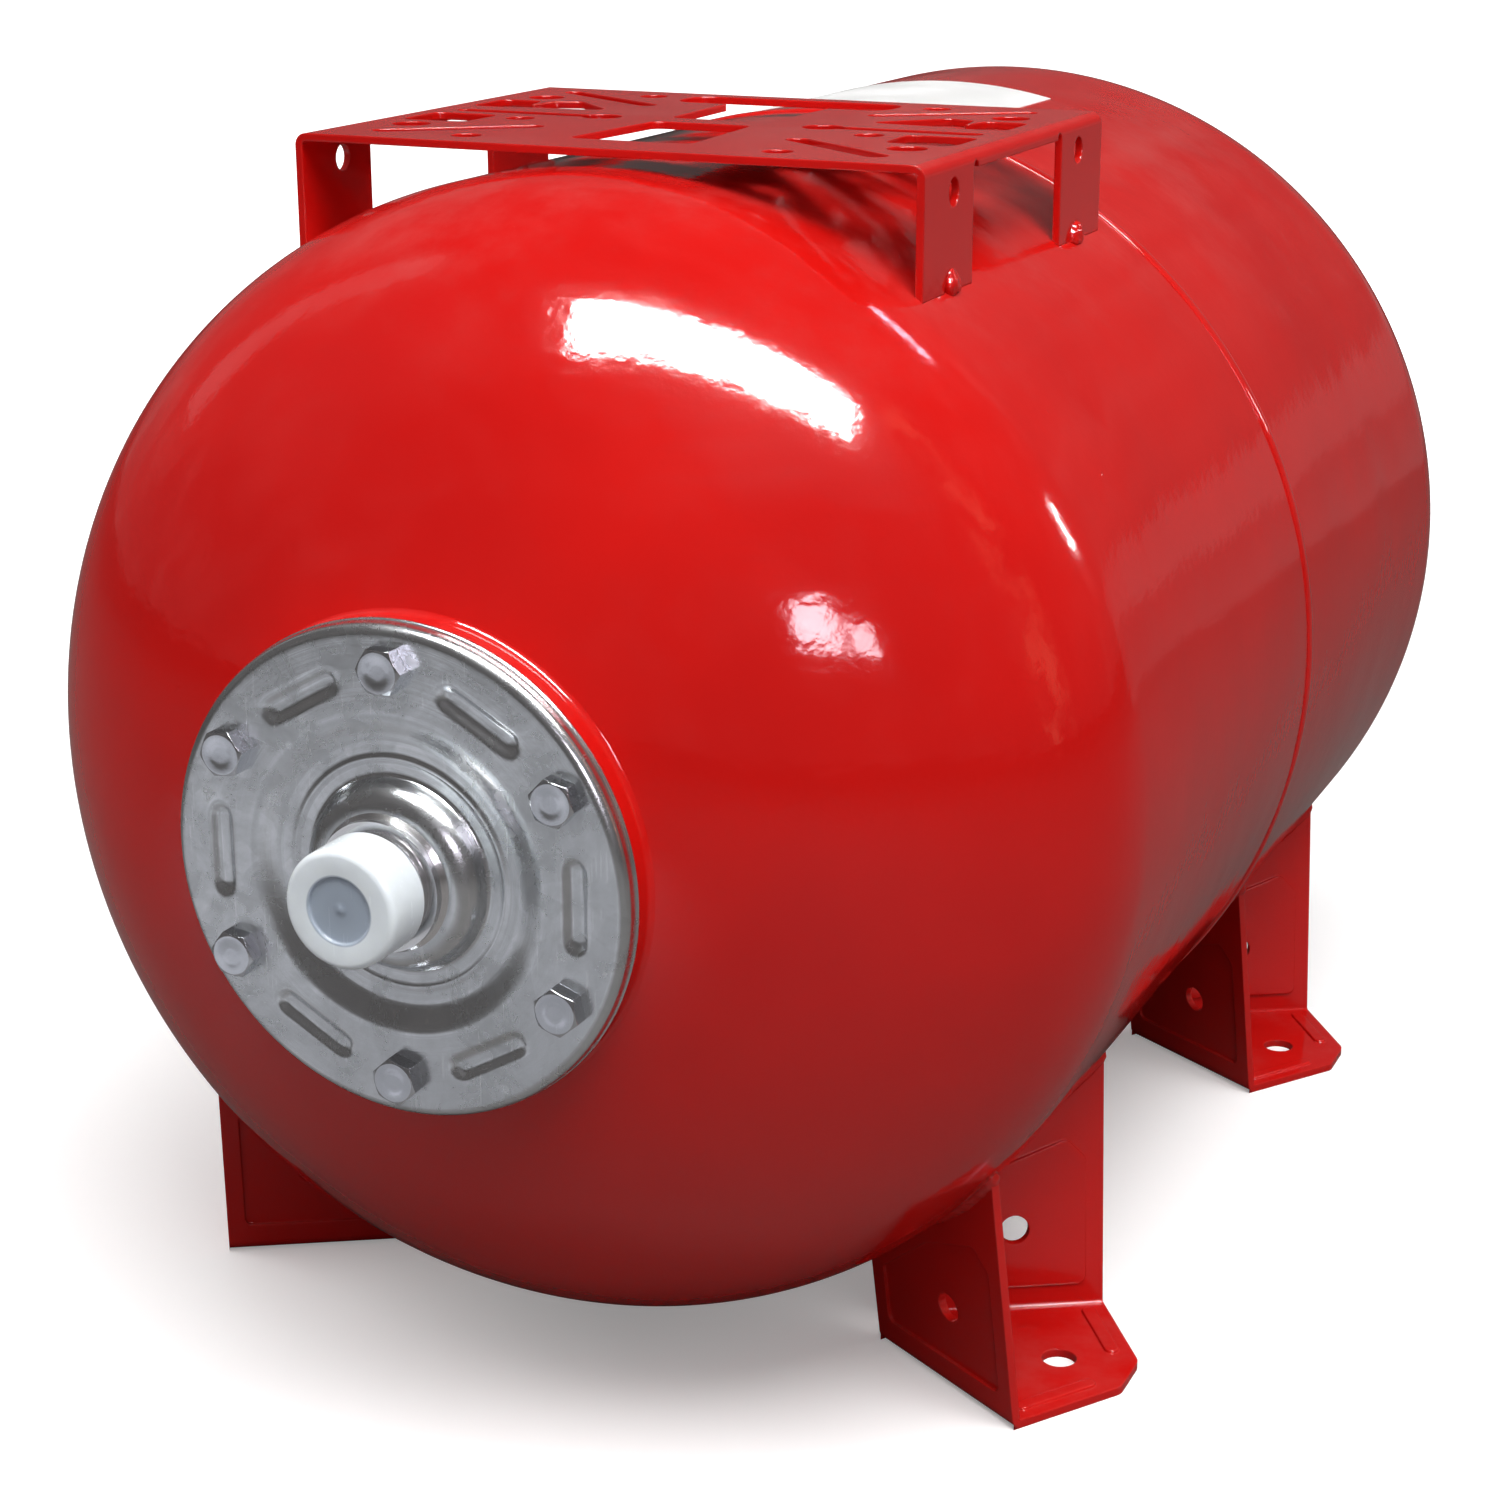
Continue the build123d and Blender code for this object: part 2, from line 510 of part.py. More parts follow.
def platform_welds():
    """Plug beads that fill the notch of each leg down to the shell."""
    legs = pump_platform()
    shell = shell_solid()
    beads = []
    for side in (-1, 1):
        for end in (-1, 1):
            y = PLATE_MID_Y + end * (PLATE_LENGTH / 2 - LEG_HOLE_INSET)
            blob = Pos(side * (PLATE_HALF_X - PLATE_SHEET / 2), y, leg_foot_z() + 0.5) * Sphere(LEG_NOTCH_R)
            blob &= Pos(side * (PLATE_HALF_X - PLATE_SHEET / 2), y, leg_foot_z()) * Box(
                2 * PLATE_SHEET + 4, 4 * LEG_NOTCH_R, 4 * LEG_NOTCH_R)
            beads.append((blob - shell - legs).solids().sort_by(SortBy.VOLUME)[-1])
    return Compound(beads)


def web_section():
    """Plane across the -Y web of a right-hand foot, at its corner: X outwards and Y up."""
    return Plane(origin=(FOOT_CORNER_X, -FOOT_CORNER_HALF, 0), x_dir=(-WEB_ALONG_Y, WEB_ALONG_X, 0),
                 z_dir=(WEB_ALONG_X, WEB_ALONG_Y, 0))


def web_side(up=0.0):
    """Plane on the outer face of the -Y web: X inwards along the bend and Y up."""
    return Plane(origin=(FOOT_CORNER_X, -FOOT_CORNER_HALF, up), x_dir=(WEB_ALONG_X, WEB_ALONG_Y, 0),
                 z_dir=(WEB_ALONG_Y, -WEB_ALONG_X, 0))


def along_web(section):
    return extrude(web_section() * section, WEB_LENGTH, dir=(WEB_ALONG_X, WEB_ALONG_Y, 0))


def web_plate(thick_out, thick_in, height):
    """Straight plate that leans with the web, between two offsets from its outer face."""
    lean = radians(FOOT_LEAN)
    over = 1 / cos(lean)
    rise = height * tan(lean)
    return along_web(outline(
        (-thick_in * over, 0), (thick_out * over, 0),
        (thick_out * over + rise, height), (rise - thick_in * over, height)))


def foot_web():
    """The web and its bend: an L section run along the slanted edge of the base."""
    lean = radians(FOOT_LEAN)
    height = AXIS_H
    reach = 2 * FOOT_BEND
    outer = outline((-reach, 0), (0, 0), (height * tan(lean), height), (-reach, height))
    outer = fillet(outer.vertices().sort_by_distance((0, 0, 0))[0], FOOT_BEND)
    # Where the inner faces of the base and the web meet.
    inner_x = FOOT_SHEET * (tan(lean) - 1 / cos(lean))
    inner = outline(
        (-reach - 1, FOOT_SHEET), (inner_x, FOOT_SHEET),
        (inner_x + height * tan(lean), FOOT_SHEET + height), (-reach - 1, FOOT_SHEET + height))
    inner = fillet(inner.vertices().sort_by_distance((inner_x, FOOT_SHEET, 0))[0], FOOT_BEND - FOOT_SHEET)
    return along_web(outer - inner)


def web_panel():
    """Outline of the pressed panel, as a solid that stands through the web."""
    inner_u = WEB_LENGTH - PANEL_INSET
    face = outline(
        (PANEL_INSET, PANEL_BOTTOM), (inner_u, PANEL_BOTTOM), (inner_u, PANEL_TOP_INNER),
        (WEB_LENGTH * PANEL_STEP, PANEL_TOP_MIDDLE), (PANEL_INSET + PANEL_CORNER, PANEL_TOP_OUTER),
        (PANEL_INSET, PANEL_TOP_OUTER - PANEL_CORNER))
    face = fillet(face.vertices(), PANEL_ROUND)
    return extrude(web_side() * face, AXIS_H * tan(radians(FOOT_LEAN)) + FOOT_SHEET, both=True)


def base_ridge():
    """Low ridge on the base, parallel to its slanted outer edge on the -Y side."""
    run_x = FOOT_TIP_X - FOOT_CORNER_X
    run_y = FOOT_CORNER_HALF - FOOT_TIP_HALF
    length = hypot(run_x, run_y)
    mid_x = (FOOT_CORNER_X + FOOT_TIP_X) / 2 - run_y / length * RIDGE_INSET
    mid_y = -(FOOT_CORNER_HALF + FOOT_TIP_HALF) / 2 + run_x / length * RIDGE_INSET
    plane = Plane(origin=(mid_x, mid_y, FOOT_SHEET), x_dir=(run_x, run_y, 0), z_dir=(0, 0, 1))
    strip = extrude(plane * SlotOverall(length * RIDGE_SHARE, RIDGE_WIDTH), RIDGE_HEIGHT, dir=(0, 0, 1))
    return fillet(strip.faces().sort_by(Axis.Z)[-1].edges(), RIDGE_HEIGHT * 0.6)


def right_foot():
    """A right-hand foot, with the middle of its base at Y = 0 and its floor face at Z = 0."""
    plate = outline(
        (FOOT_INNER_X, FOOT_INNER_HALF), (FOOT_CORNER_X, FOOT_CORNER_HALF), (FOOT_TIP_X, FOOT_TIP_HALF),
        (FOOT_TIP_X, -FOOT_TIP_HALF), (FOOT_CORNER_X, -FOOT_CORNER_HALF), (FOOT_INNER_X, -FOOT_INNER_HALF))
    plate = fillet(plate.vertices().sort_by(Axis.X)[-2:], FOOT_TIP_ROUND)
    foot = extrude(plate, FOOT_SHEET, dir=(0, 0, 1))
    # The plate's own slanted edge gives way to the rounded bend.
    edge = web_plate(FOOT_BEND, FOOT_BEND, FOOT_BEND)
    panel = web_panel()
    web = foot_web() + (panel & web_plate(0, FOOT_SHEET + PANEL_DEPTH, AXIS_H))
    web -= panel & web_plate(FOOT_BEND, PANEL_DEPTH, AXIS_H)
    hole = Pos(WEB_LENGTH / 2 - WEB_HOLE_OUT, 0) * Circle(WEB_HOLE_R)
    web -= extrude(web_side(WEB_HOLE_UP) * hole, 4 * FOOT_BEND, both=True)
    web += base_ridge()
    for piece, cut in ((web, edge), (mirror(web, Plane.XZ), mirror(edge, Plane.XZ))):
        foot = foot - cut + piece
    return foot - Pos(FLOOR_HOLE_X, 0, 0) * Cylinder(FLOOR_HOLE_R, 4 * FOOT_SHEET)


def placed_foot(shape, side, front):
    shape = Pos(0, FOOT_FRONT_Y + (0 if front else FOOT_PITCH), 0) * shape
    return shape if side > 0 else mirror(shape, Plane.YZ)


def foot_weld_set(layer):
    """Beads along both sides of the two webs of a right-hand foot, inside a layer on the shell."""
    wide = web_plate(FOOT_WELD, FOOT_SHEET + FOOT_WELD, AXIS_H)
    bead = (wide & layer) - web_plate(0, FOOT_SHEET, AXIS_H)
    other = (mirror(wide, Plane.XZ) & layer) - mirror(web_plate(0, FOOT_SHEET, AXIS_H), Plane.XZ)
    return [bead, other]


def feet_and_welds():
    """The four feet cut to the shell, and the weld beads that join them to it."""
    shell = shell_solid()
    over = shell_solid(FOOT_WELD_HEIGHT)
    plain = right_foot()
    nodes = {}
    welds = []
    for front in (True, False):
        shift = Pos(0, -FOOT_FRONT_Y - (0 if front else FOOT_PITCH), 0)
        local_shell = shift * shell
        foot = (plain - local_shell).solids().sort_by(SortBy.VOLUME)[-1]
        beads = []
        for bead in foot_weld_set(shift * over - local_shell):
            beads += [s for s in (bead - plain).solids() if s.center().Z < AXIS_H and s.volume > 20]
        for side, name in ((-1, "left"), (1, "right")):
            nodes[f"foot_{'front' if front else 'rear'}_{name}"] = placed_foot(foot, side, front)
            welds += [placed_foot(bead, side, front) for bead in beads]
    nodes["foot_welds"] = Compound([s for w in welds for s in w.solids()])
    return nodes


def label():
    outer = SHELL_R + LABEL_THICK
    layer = ring_y(outer, SHELL_R, LABEL_Y - LABEL_LENGTH / 2, LABEL_Y + LABEL_LENGTH / 2)
    return layer & (Pos(LABEL_X, LABEL_Y, AXIS_H + SHELL_R) * Box(LABEL_WIDTH, LABEL_LENGTH, SHELL_R))


def valve_boss():
    back = BOSS_FACE_Y - VALVE_BOSS_LENGTH
    ring = ring_y(VALVE_BOSS_R, STEM_THREAD_R + TAP_CLEARANCE, back, BOSS_FACE_Y)
    return ring


def valve_weld():
    outer_r = VALVE_BOSS_R + VALVE_WELD
    base = CYL_LENGTH + dome_y(outer_r)
    top = CYL_LENGTH + dome_y(VALVE_BOSS_R) + VALVE_WELD
    # The cover's rim seats clear of the bead.
    bead = outline((VALVE_BOSS_R, top - 1.5), (outer_r, base), (VALVE_BOSS_R, base))
    return turned(bead) - shell_solid()


def valve_stem():
    """Brass valve body: thread in the boss, hexagon on its face, neck with a bore."""
    neck_y = BOSS_FACE_Y + SEAL_CORD + STEM_HEX
    end = neck_y + STEM_NECK_LENGTH
    back = BOSS_FACE_Y - STEM_THREAD_LENGTH
    shank = ring_y(STEM_THREAD_R, STEM_BORE_R, back, BOSS_FACE_Y + SEAL_CORD)
    seat = Plane(origin=(0, BOSS_FACE_Y + SEAL_CORD, AXIS_H), x_dir=(1, 0, 0), z_dir=(0, 1, 0))
    flats = seat * RegularPolygon(STEM_FLATS / 2, 6, major_radius=False)
    hexagon = extrude(flats, STEM_HEX, dir=(0, 1, 0)) - disc_y(STEM_BORE_R, back, end)
    neck = ring_y(STEM_NECK_R, STEM_BORE_R, neck_y, end)
    for i in range(STEM_RINGS):
        y = end - STEM_RING_PITCH * (i + 1)
        neck -= ring_y(STEM_NECK_R + 1, STEM_NECK_R - STEM_RING_DEPTH, y, y + STEM_RING_WIDTH)
    return shank + hexagon + neck


def valve_seal():
    y = BOSS_FACE_Y + SEAL_CORD / 2
    return turned(Pos(STEM_THREAD_R + SEAL_CORD / 2, y) * Circle(SEAL_CORD / 2))


def core_span():
    end = BOSS_FACE_Y + SEAL_CORD + STEM_HEX + STEM_NECK_LENGTH
    return end - CORE_SUNK - CORE_LENGTH, end - CORE_SUNK


def valve_core():
    start, end = core_span()
    return ring_y(STEM_BORE_R - CORE_CLEARANCE, CORE_BORE_R, start, end)


def valve_pin():
    """Pin through the core, with the disc that seals under it."""
    start, end = core_span()
    rod = disc_y(PIN_R, start - SPRING_LENGTH - PIN_TAIL, end + PIN_TRAVEL + PIN_STANDS)
    disc = disc_y(PIN_DISC_R, start - PIN_DISC - PIN_SEAT_GAP, start - PIN_SEAT_GAP)
    return rod + disc


def valve_spring():
    """Coil spring round the pin, under its disc."""
    start = core_span()[0] - PIN_DISC - 2 * PIN_SEAT_GAP - SPRING_WIRE_R
    pitch = (SPRING_LENGTH - 2 * SPRING_WIRE_R) / SPRING_TURNS
    helix = Helix(pitch, pitch * SPRING_TURNS, SPRING_R, center=(0, 0, 0), direction=(0, -1, 0))
    path = Pos(0, start, AXIS_H) * helix
    section = Plane(origin=path @ 0, z_dir=path % 0) * Circle(SPRING_WIRE_R)
    return sweep(section, path=path, is_frenet=True)


def valve_cover():
    inner = VALVE_BOSS_R + COVER_CLEARANCE
    outer = inner + COVER_WALL
    top = COVER_END_Y
    grip = outline((inner, COVER_START_Y), (outer, COVER_START_Y), (outer - 0.6, top - 2), (outer - 2.6, top),
                   (0, top), (0, top - COVER_WALL), (inner - 1.6, top - COVER_WALL), (inner, top - 4))
    cover = turned(grip)
    rib_y = (COVER_START_Y + top) / 2 - 1
    rib = Pos(0, rib_y, AXIS_H + outer) * Rot(90, 0, 0) * Cylinder(COVER_RIB_R, COVER_LENGTH - 7)
    axis = Axis((0, 0, AXIS_H), (0, 1, 0))
    for i in range(COVER_RIBS):
        cover += rib.rotate(axis, i * 360 / COVER_RIBS)
    return cover - disc_y(inner, COVER_START_Y - 1, top - 4)


def main():
    os.makedirs("parts", exist_ok=True)
    builders = (
        front_shell, rear_shell, girth_weld, mouth_ring, mouth_weld, membrane, flange, flange_bolts,
        connector_nipple, nipple_weld, thread_cap, pump_platform, platform_welds, label, valve_boss,
        valve_weld, valve_stem, valve_seal, valve_core, valve_pin, valve_spring, valve_cover)
    nodes = {build.__name__: build() for build in builders}
    nodes.update(feet_and_welds())
    for name, shape in nodes.items():
        export_step(Pos(0, TANK_SHIFT_Y, 0) * shape, f"parts/{name}.step")


main()
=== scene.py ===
"""Horizontal membrane pressure tank with a pump platform: its finishes, shaped pieces and studio."""
import logging
import math
from dataclasses import dataclass
from enum import Enum

import bmesh
import bpy
from mathutils import Matrix, Quaternion, Vector, noise


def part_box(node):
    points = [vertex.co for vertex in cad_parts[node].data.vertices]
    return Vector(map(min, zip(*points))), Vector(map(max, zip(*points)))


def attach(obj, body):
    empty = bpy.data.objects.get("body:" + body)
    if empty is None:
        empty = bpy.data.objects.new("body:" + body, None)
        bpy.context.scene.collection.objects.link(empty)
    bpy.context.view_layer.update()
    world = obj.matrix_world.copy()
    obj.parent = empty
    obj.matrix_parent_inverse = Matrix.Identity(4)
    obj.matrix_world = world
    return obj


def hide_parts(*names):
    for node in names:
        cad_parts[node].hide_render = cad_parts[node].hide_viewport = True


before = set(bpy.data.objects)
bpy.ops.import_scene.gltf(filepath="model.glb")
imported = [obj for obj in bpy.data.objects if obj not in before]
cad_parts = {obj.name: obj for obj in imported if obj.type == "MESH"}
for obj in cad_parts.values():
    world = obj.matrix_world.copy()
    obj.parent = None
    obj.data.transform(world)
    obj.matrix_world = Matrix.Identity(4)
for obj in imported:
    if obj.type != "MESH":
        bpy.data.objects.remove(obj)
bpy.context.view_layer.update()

log = logging.getLogger("tank")
MM = 0.001
SHELL_RADIUS = 190.0 * MM
HEAD_DEPTH = 122.0 * MM
STRAIGHT_LENGTH = 390.0 * MM
SCREW_SHANK = 20.0 * MM
WHITE = (1.0, 1.0, 1.0)
Point = tuple[float, float]


class Piece(Enum):
    """Bodies that a shaped piece can ride on."""

    TANK = "tank"
    CAP = "cap"


class Surface(Enum):
    """What a coat of paint lies on, which sets its relief."""

    SHEET = "sheet"
    BEAD = "bead"


# ---- Node graphs ----
class Graph:
    """Adds and joins nodes in one node tree."""

    def __init__(self, tree: bpy.types.NodeTree) -> None:
        """Keeps the tree that nodes are added to."""
        self.tree = tree

    def add(self, kind: str, links: dict | None = None, **values) -> bpy.types.Node:
        """Adds a node.

        Args:
            kind: the node's type, without the ShaderNode prefix.
            links: input name or index to the output that feeds it, or to a plain value.
            values: properties of the node itself, such as operation.

        Returns:
            The new node.
        """
        node = self.tree.nodes.new(kind if kind.startswith("Node") else "ShaderNode" + kind)
        for name, value in values.items():
            setattr(node, name, value)
        for name, value in (links or {}).items():
            if isinstance(value, bpy.types.NodeSocket):
                self.feed(value, node.inputs[name])
            else:
                node.inputs[name].default_value = value
        return node

    def math(self, operation: str, a, b=0.0, clamp: bool = False) -> bpy.types.NodeSocket:
        """Returns the output of a Math node on two sockets or numbers."""
        return self.add("Math", {0: a, 1: b}, operation=operation, use_clamp=clamp).outputs[0]

    def feed(self, value: bpy.types.NodeSocket, socket: bpy.types.NodeSocket) -> None:
        """Joins an output to an input."""
        self.tree.links.new(value, socket)

    def length(self, vector: bpy.types.NodeSocket) -> bpy.types.NodeSocket:
        """Returns the length of a vector."""
        return self.add("VectorMath", {0: vector}, operation="LENGTH").outputs["Value"]

    def axis(self, vector: bpy.types.NodeSocket, name: str) -> bpy.types.NodeSocket:
        """Returns the X, Y or Z of a vector."""
        return self.add("SeparateXYZ", {0: vector}).outputs[name]

    def times(self, a, b, clamp: bool = False) -> bpy.types.NodeSocket:
        """Returns the product of two sockets or numbers."""
        return self.math("MULTIPLY", a, b, clamp)

    def mix(self, factor, a, b, blend: str = "MIX") -> bpy.types.NodeSocket:
        """Returns the output of a colour Mix node."""
        node = self.add("Mix", {0: factor, 6: a, 7: b}, data_type="RGBA", blend_type=blend)
        return node.outputs[2]

    def ramp(self, factor, low: float, high: float, start: float = 0.0, end: float = 1.0):
        """Returns the output of a Map Range node from low..high to start..end, smooth and clamped."""
        node = self.add("MapRange", {0: factor, 1: low, 2: high, 3: start, 4: end},
                        interpolation_type="SMOOTHSTEP")
        return node.outputs[0]

    def noise(self, vector, scale: float, detail: float = 3.0, roughness: float = 0.5,
              distortion: float = 0.0) -> bpy.types.NodeSocket:
        """Returns the value of a Noise texture."""
        node = self.add("TexNoise", {"Vector": vector, "Scale": scale, "Detail": detail,
                                     "Roughness": roughness, "Distortion": distortion})
        return node.outputs[0]


def shaded(colour: tuple, factor: float, lift: float = 0.0) -> tuple:
    """Scales and lifts a colour's three channels, each up to 1, and makes it opaque."""
    return tuple(min(1.0, c * factor + lift) for c in colour[:3]) + (1.0,)


def new_group(name: str, inputs: dict[str, float], outputs: tuple[str, ...]) -> tuple:
    """Starts a shader node group with a Vector input, number inputs and number outputs.

    Args:
        name: the group's name.
        inputs: number inputs and their defaults.
        outputs: names of the number outputs.

    Returns:
        The graph, the group's input node and its output node.
    """
    tree = bpy.data.node_groups.new(name, "ShaderNodeTree")
    tree.interface.new_socket("Vector", in_out="INPUT", socket_type="NodeSocketVector")
    for key, value in inputs.items():
        socket = tree.interface.new_socket(key, in_out="INPUT", socket_type="NodeSocketFloat")
        socket.default_value = value
    for key in outputs:
        tree.interface.new_socket(key, in_out="OUTPUT", socket_type="NodeSocketFloat")
    graph = Graph(tree)
    return graph, graph.add("NodeGroupInput"), graph.add("NodeGroupOutput")


class Effects:
    """Shared effects, each a node group that is built once and placed with its own values."""

    def __init__(self) -> None:
        """Builds every group."""
        self.peel = self._paint_relief()
        self.grime = self._grime()
        self.edge = self._edge_highlight()
        self.ripple = self._ripple()
        self.scratch = self._scratch()

    def _paint_relief(self) -> bpy.types.NodeTree:
        """Orange peel, slow waves of pressed sheet and rare paint nibs, as a height in metres."""
        g, i, o = new_group("paint_relief", {"Peel": 1.0, "Waves": 1.0, "Nibs": 1.0}, ("Height",))
        v = i.outputs["Vector"]
        fine = g.times(g.noise(v, 330.0, 2.0, 0.45), 5.5e-5)
        mid = g.times(g.noise(v, 85.0, 2.0, 0.5), 9.0e-5)
        peel = g.times(g.math("ADD", fine, mid), i.outputs["Peel"])
        wave = g.times(g.noise(v, 10.0, 2.0, 0.45, 0.4), 1.7e-3)
        wave = g.times(wave, i.outputs["Waves"])
        cell = g.add("TexVoronoi", {"Vector": v, "Scale": 55.0}, feature="F1").outputs[0]
        nib = g.times(g.ramp(cell, 0.05, 0.0), g.ramp(g.noise(v, 14.0), 0.6, 0.68))
        nib = g.times(g.times(nib, 1.2e-4), i.outputs["Nibs"])
        g.feed(g.math("ADD", g.math("ADD", peel, wave), nib), o.inputs["Height"])
        return g.tree

    def _grime(self) -> bpy.types.NodeTree:
        """Thin dust on upward faces and faint handling smears."""
        g, i, o = new_group("grime", {"Dust": 0.2, "Smears": 0.3}, ("Dust", "Smears"))
        v = i.outputs["Vector"]
        normal = g.add("NewGeometry").outputs["Normal"]
        up = g.axis(normal, "Z")
        patch = g.ramp(g.noise(v, 16.0, 6.0, 0.65), 0.42, 0.75)
        speck = g.ramp(g.noise(v, 420.0, 4.0, 0.7), 0.62, 0.8, 0.0, 0.35)
        dust = g.times(g.ramp(up, 0.45, 1.0), g.math("ADD", patch, speck))
        dust = g.times(dust, i.outputs["Dust"], clamp=True)
        g.feed(dust, o.inputs["Dust"])
        stretched = g.add("Mapping", {"Vector": v, "Scale": (1.0, 1.0, 5.0)}).outputs[0]
        smear = g.ramp(g.noise(stretched, 22.0, 5.0, 0.6, 0.8), 0.5, 0.8)
        g.feed(g.times(smear, i.outputs["Smears"]), o.inputs["Smears"])
        return g.tree

    def _edge_highlight(self) -> bpy.types.NodeTree:
        """Mask of edges, from how far the rounded normal turns away from the true one; the finishes lighten
        their colour under it, a painted highlight along the edges.
        """
        g, i, o = new_group("edge_highlight_mask", {"Amount": 1.0}, ("Edge",))
        rounded = g.add("Bevel", {"Radius": 1.4 * MM}, samples=4).outputs[0]
        normal = g.add("NewGeometry").outputs["Normal"]
        same = g.add("VectorMath", {0: rounded, 1: normal}, operation="DOT_PRODUCT").outputs["Value"]
        turned = g.ramp(same, 0.985, 0.80)
        broken = g.ramp(g.noise(i.outputs["Vector"], 120.0, 5.0, 0.6), 0.35, 0.65, 0.35, 1.0)
        mask = g.times(g.times(turned, broken), i.outputs["Amount"], clamp=True)
        g.feed(mask, o.inputs["Edge"])
        return g.tree

    def _ripple(self) -> bpy.types.NodeTree:
        """Uneven ripples of a weld bead under paint, as a height in metres."""
        g, i, o = new_group("weld_ripple", {"Depth": 1.0}, ("Height",))
        v = i.outputs["Vector"]
        lumps = g.times(g.noise(v, 140.0, 4.0, 0.55, 0.6), 1.1e-3)
        cells = g.add("TexVoronoi", {"Vector": v, "Scale": 320.0}, feature="SMOOTH_F1").outputs[0]
        height = g.math("ADD", lumps, g.times(cells, 5.0e-4))
        g.feed(g.times(height, i.outputs["Depth"]), o.inputs["Height"])
        return g.tree

    def _scratch(self) -> bpy.types.NodeTree:
        """Fine random scratches and rub marks, as a mask."""
        g, i, o = new_group("scratches", {"Amount": 1.0}, ("Mask",))
        v = i.outputs["Vector"]
        total = None
        for turn, scale in ((0.3, 900.0), (1.2, 700.0), (2.3, 1100.0)):
            laid = g.add("Mapping", {"Vector": v, "Rotation": (0.0, turn, turn * 0.4),
                                     "Scale": (1.0, 1.0, 0.02)}).outputs[0]
            line = g.ramp(g.noise(laid, scale, 1.0, 0.5), 0.69, 0.74)
            broken = g.ramp(g.noise(v, 60.0 + scale * 0.05, 2.0), 0.5, 0.62)
            line = g.times(line, broken)
            total = line if total is None else g.math("ADD", total, line, clamp=True)
        g.feed(g.times(total, i.outputs["Amount"]), o.inputs["Mask"])
        return g.tree


class Finish:
    """Base of every finish: opens a material with one Principled shader."""

    material: bpy.types.Material

    def open(self, name: str) -> tuple[Graph, bpy.types.Node, bpy.types.NodeSocket]:
        """Starts a material.

        Args:
            name: the material's name.

        Returns:
            Its graph, its Principled node and the Object coordinates.
        """
        material = bpy.data.materials.new(name)
        material.use_nodes = True
        self.material = material
        graph = Graph(material.node_tree)
        shader = next(n for n in material.node_tree.nodes if n.type == "BSDF_PRINCIPLED")
        return graph, shader, graph.add("TexCoord").outputs["Object"]

    def group(self, graph: Graph, tree: bpy.types.NodeTree, vector, **values: float) -> bpy.types.Node:
        """Places a shared effect in the material with its own values."""
        node = graph.add("Group")
        node.node_tree = tree
        graph.feed(vector, node.inputs["Vector"])
        for key, value in values.items():
            node.inputs[key].default_value = value
        return node

    def bump(self, graph: Graph, shader, height, distance: float = 1.0, round_edges: float = 0.0) -> None:
        """Feeds a height in metres, over softly rounded edges if asked, to the shader's normal."""
        links = {"Height": height, "Strength": 1.0, "Distance": distance}
        if round_edges:
            links["Normal"] = graph.add("Bevel", {"Radius": round_edges}, samples=6).outputs[0]
        node = graph.add("Bump", links)
        graph.feed(node.outputs[0], shader.inputs["Normal"])


class PaintFinish(Finish):
    """Gloss red powder coat."""

    def __init__(self, effects: Effects, name: str, surface: Surface = Surface.SHEET,
                 peel: float = 1.0, waves: float = 1.0, round_edges: float = 0.0,
                 dust: float = 0.10, roughness: float = 0.085) -> None:
        """Builds the paint.

        Args:
            effects: the shared node groups.
            name: the material's name.
            surface: plain sheet or a weld bead.
            peel: depth of the orange peel.
            waves: depth of the sheet's slow waves.
            round_edges: radius of rounded edges, in metres; also paints a highlight along them.
            dust: amount of dust on upward faces.
            roughness: roughness of the clean gloss.
        """
        g, shader, v = self.open(name)
        relief = self.group(g, effects.peel, v, Peel=peel, Waves=waves).outputs["Height"]
        if surface is Surface.BEAD:
            ripple = self.group(g, effects.ripple, v, Depth=1.0).outputs["Height"]
            relief = g.math("ADD", relief, ripple)
        grime = self.group(g, effects.grime, v, Dust=dust, Smears=0.5)
        tone = g.ramp(g.noise(v, 7.0, 3.0, 0.5), 0.3, 0.7)
        red = g.mix(tone, (0.49, 0.0045, 0.0035, 1), (0.58, 0.0065, 0.0045, 1))
        # Lighter, redder paint along the edges: a painted highlight.
        if round_edges:
            edge = self.group(g, effects.edge, v, Amount=0.5).outputs["Edge"]
            red = g.mix(edge, red, (0.66, 0.022, 0.016, 1))
        red = g.mix(grime.outputs["Dust"], red, (0.42, 0.30, 0.28, 1))
        g.feed(red, shader.inputs["Base Color"])
        rough = g.math("ADD", g.times(grime.outputs["Smears"], 0.10), roughness)
        rough = g.math("ADD", rough, g.times(grime.outputs["Dust"], 0.5), clamp=True)
        g.feed(rough, shader.inputs["Roughness"])
        shader.inputs["IOR"].default_value = 1.52
        self.bump(g, shader, relief, round_edges=round_edges)


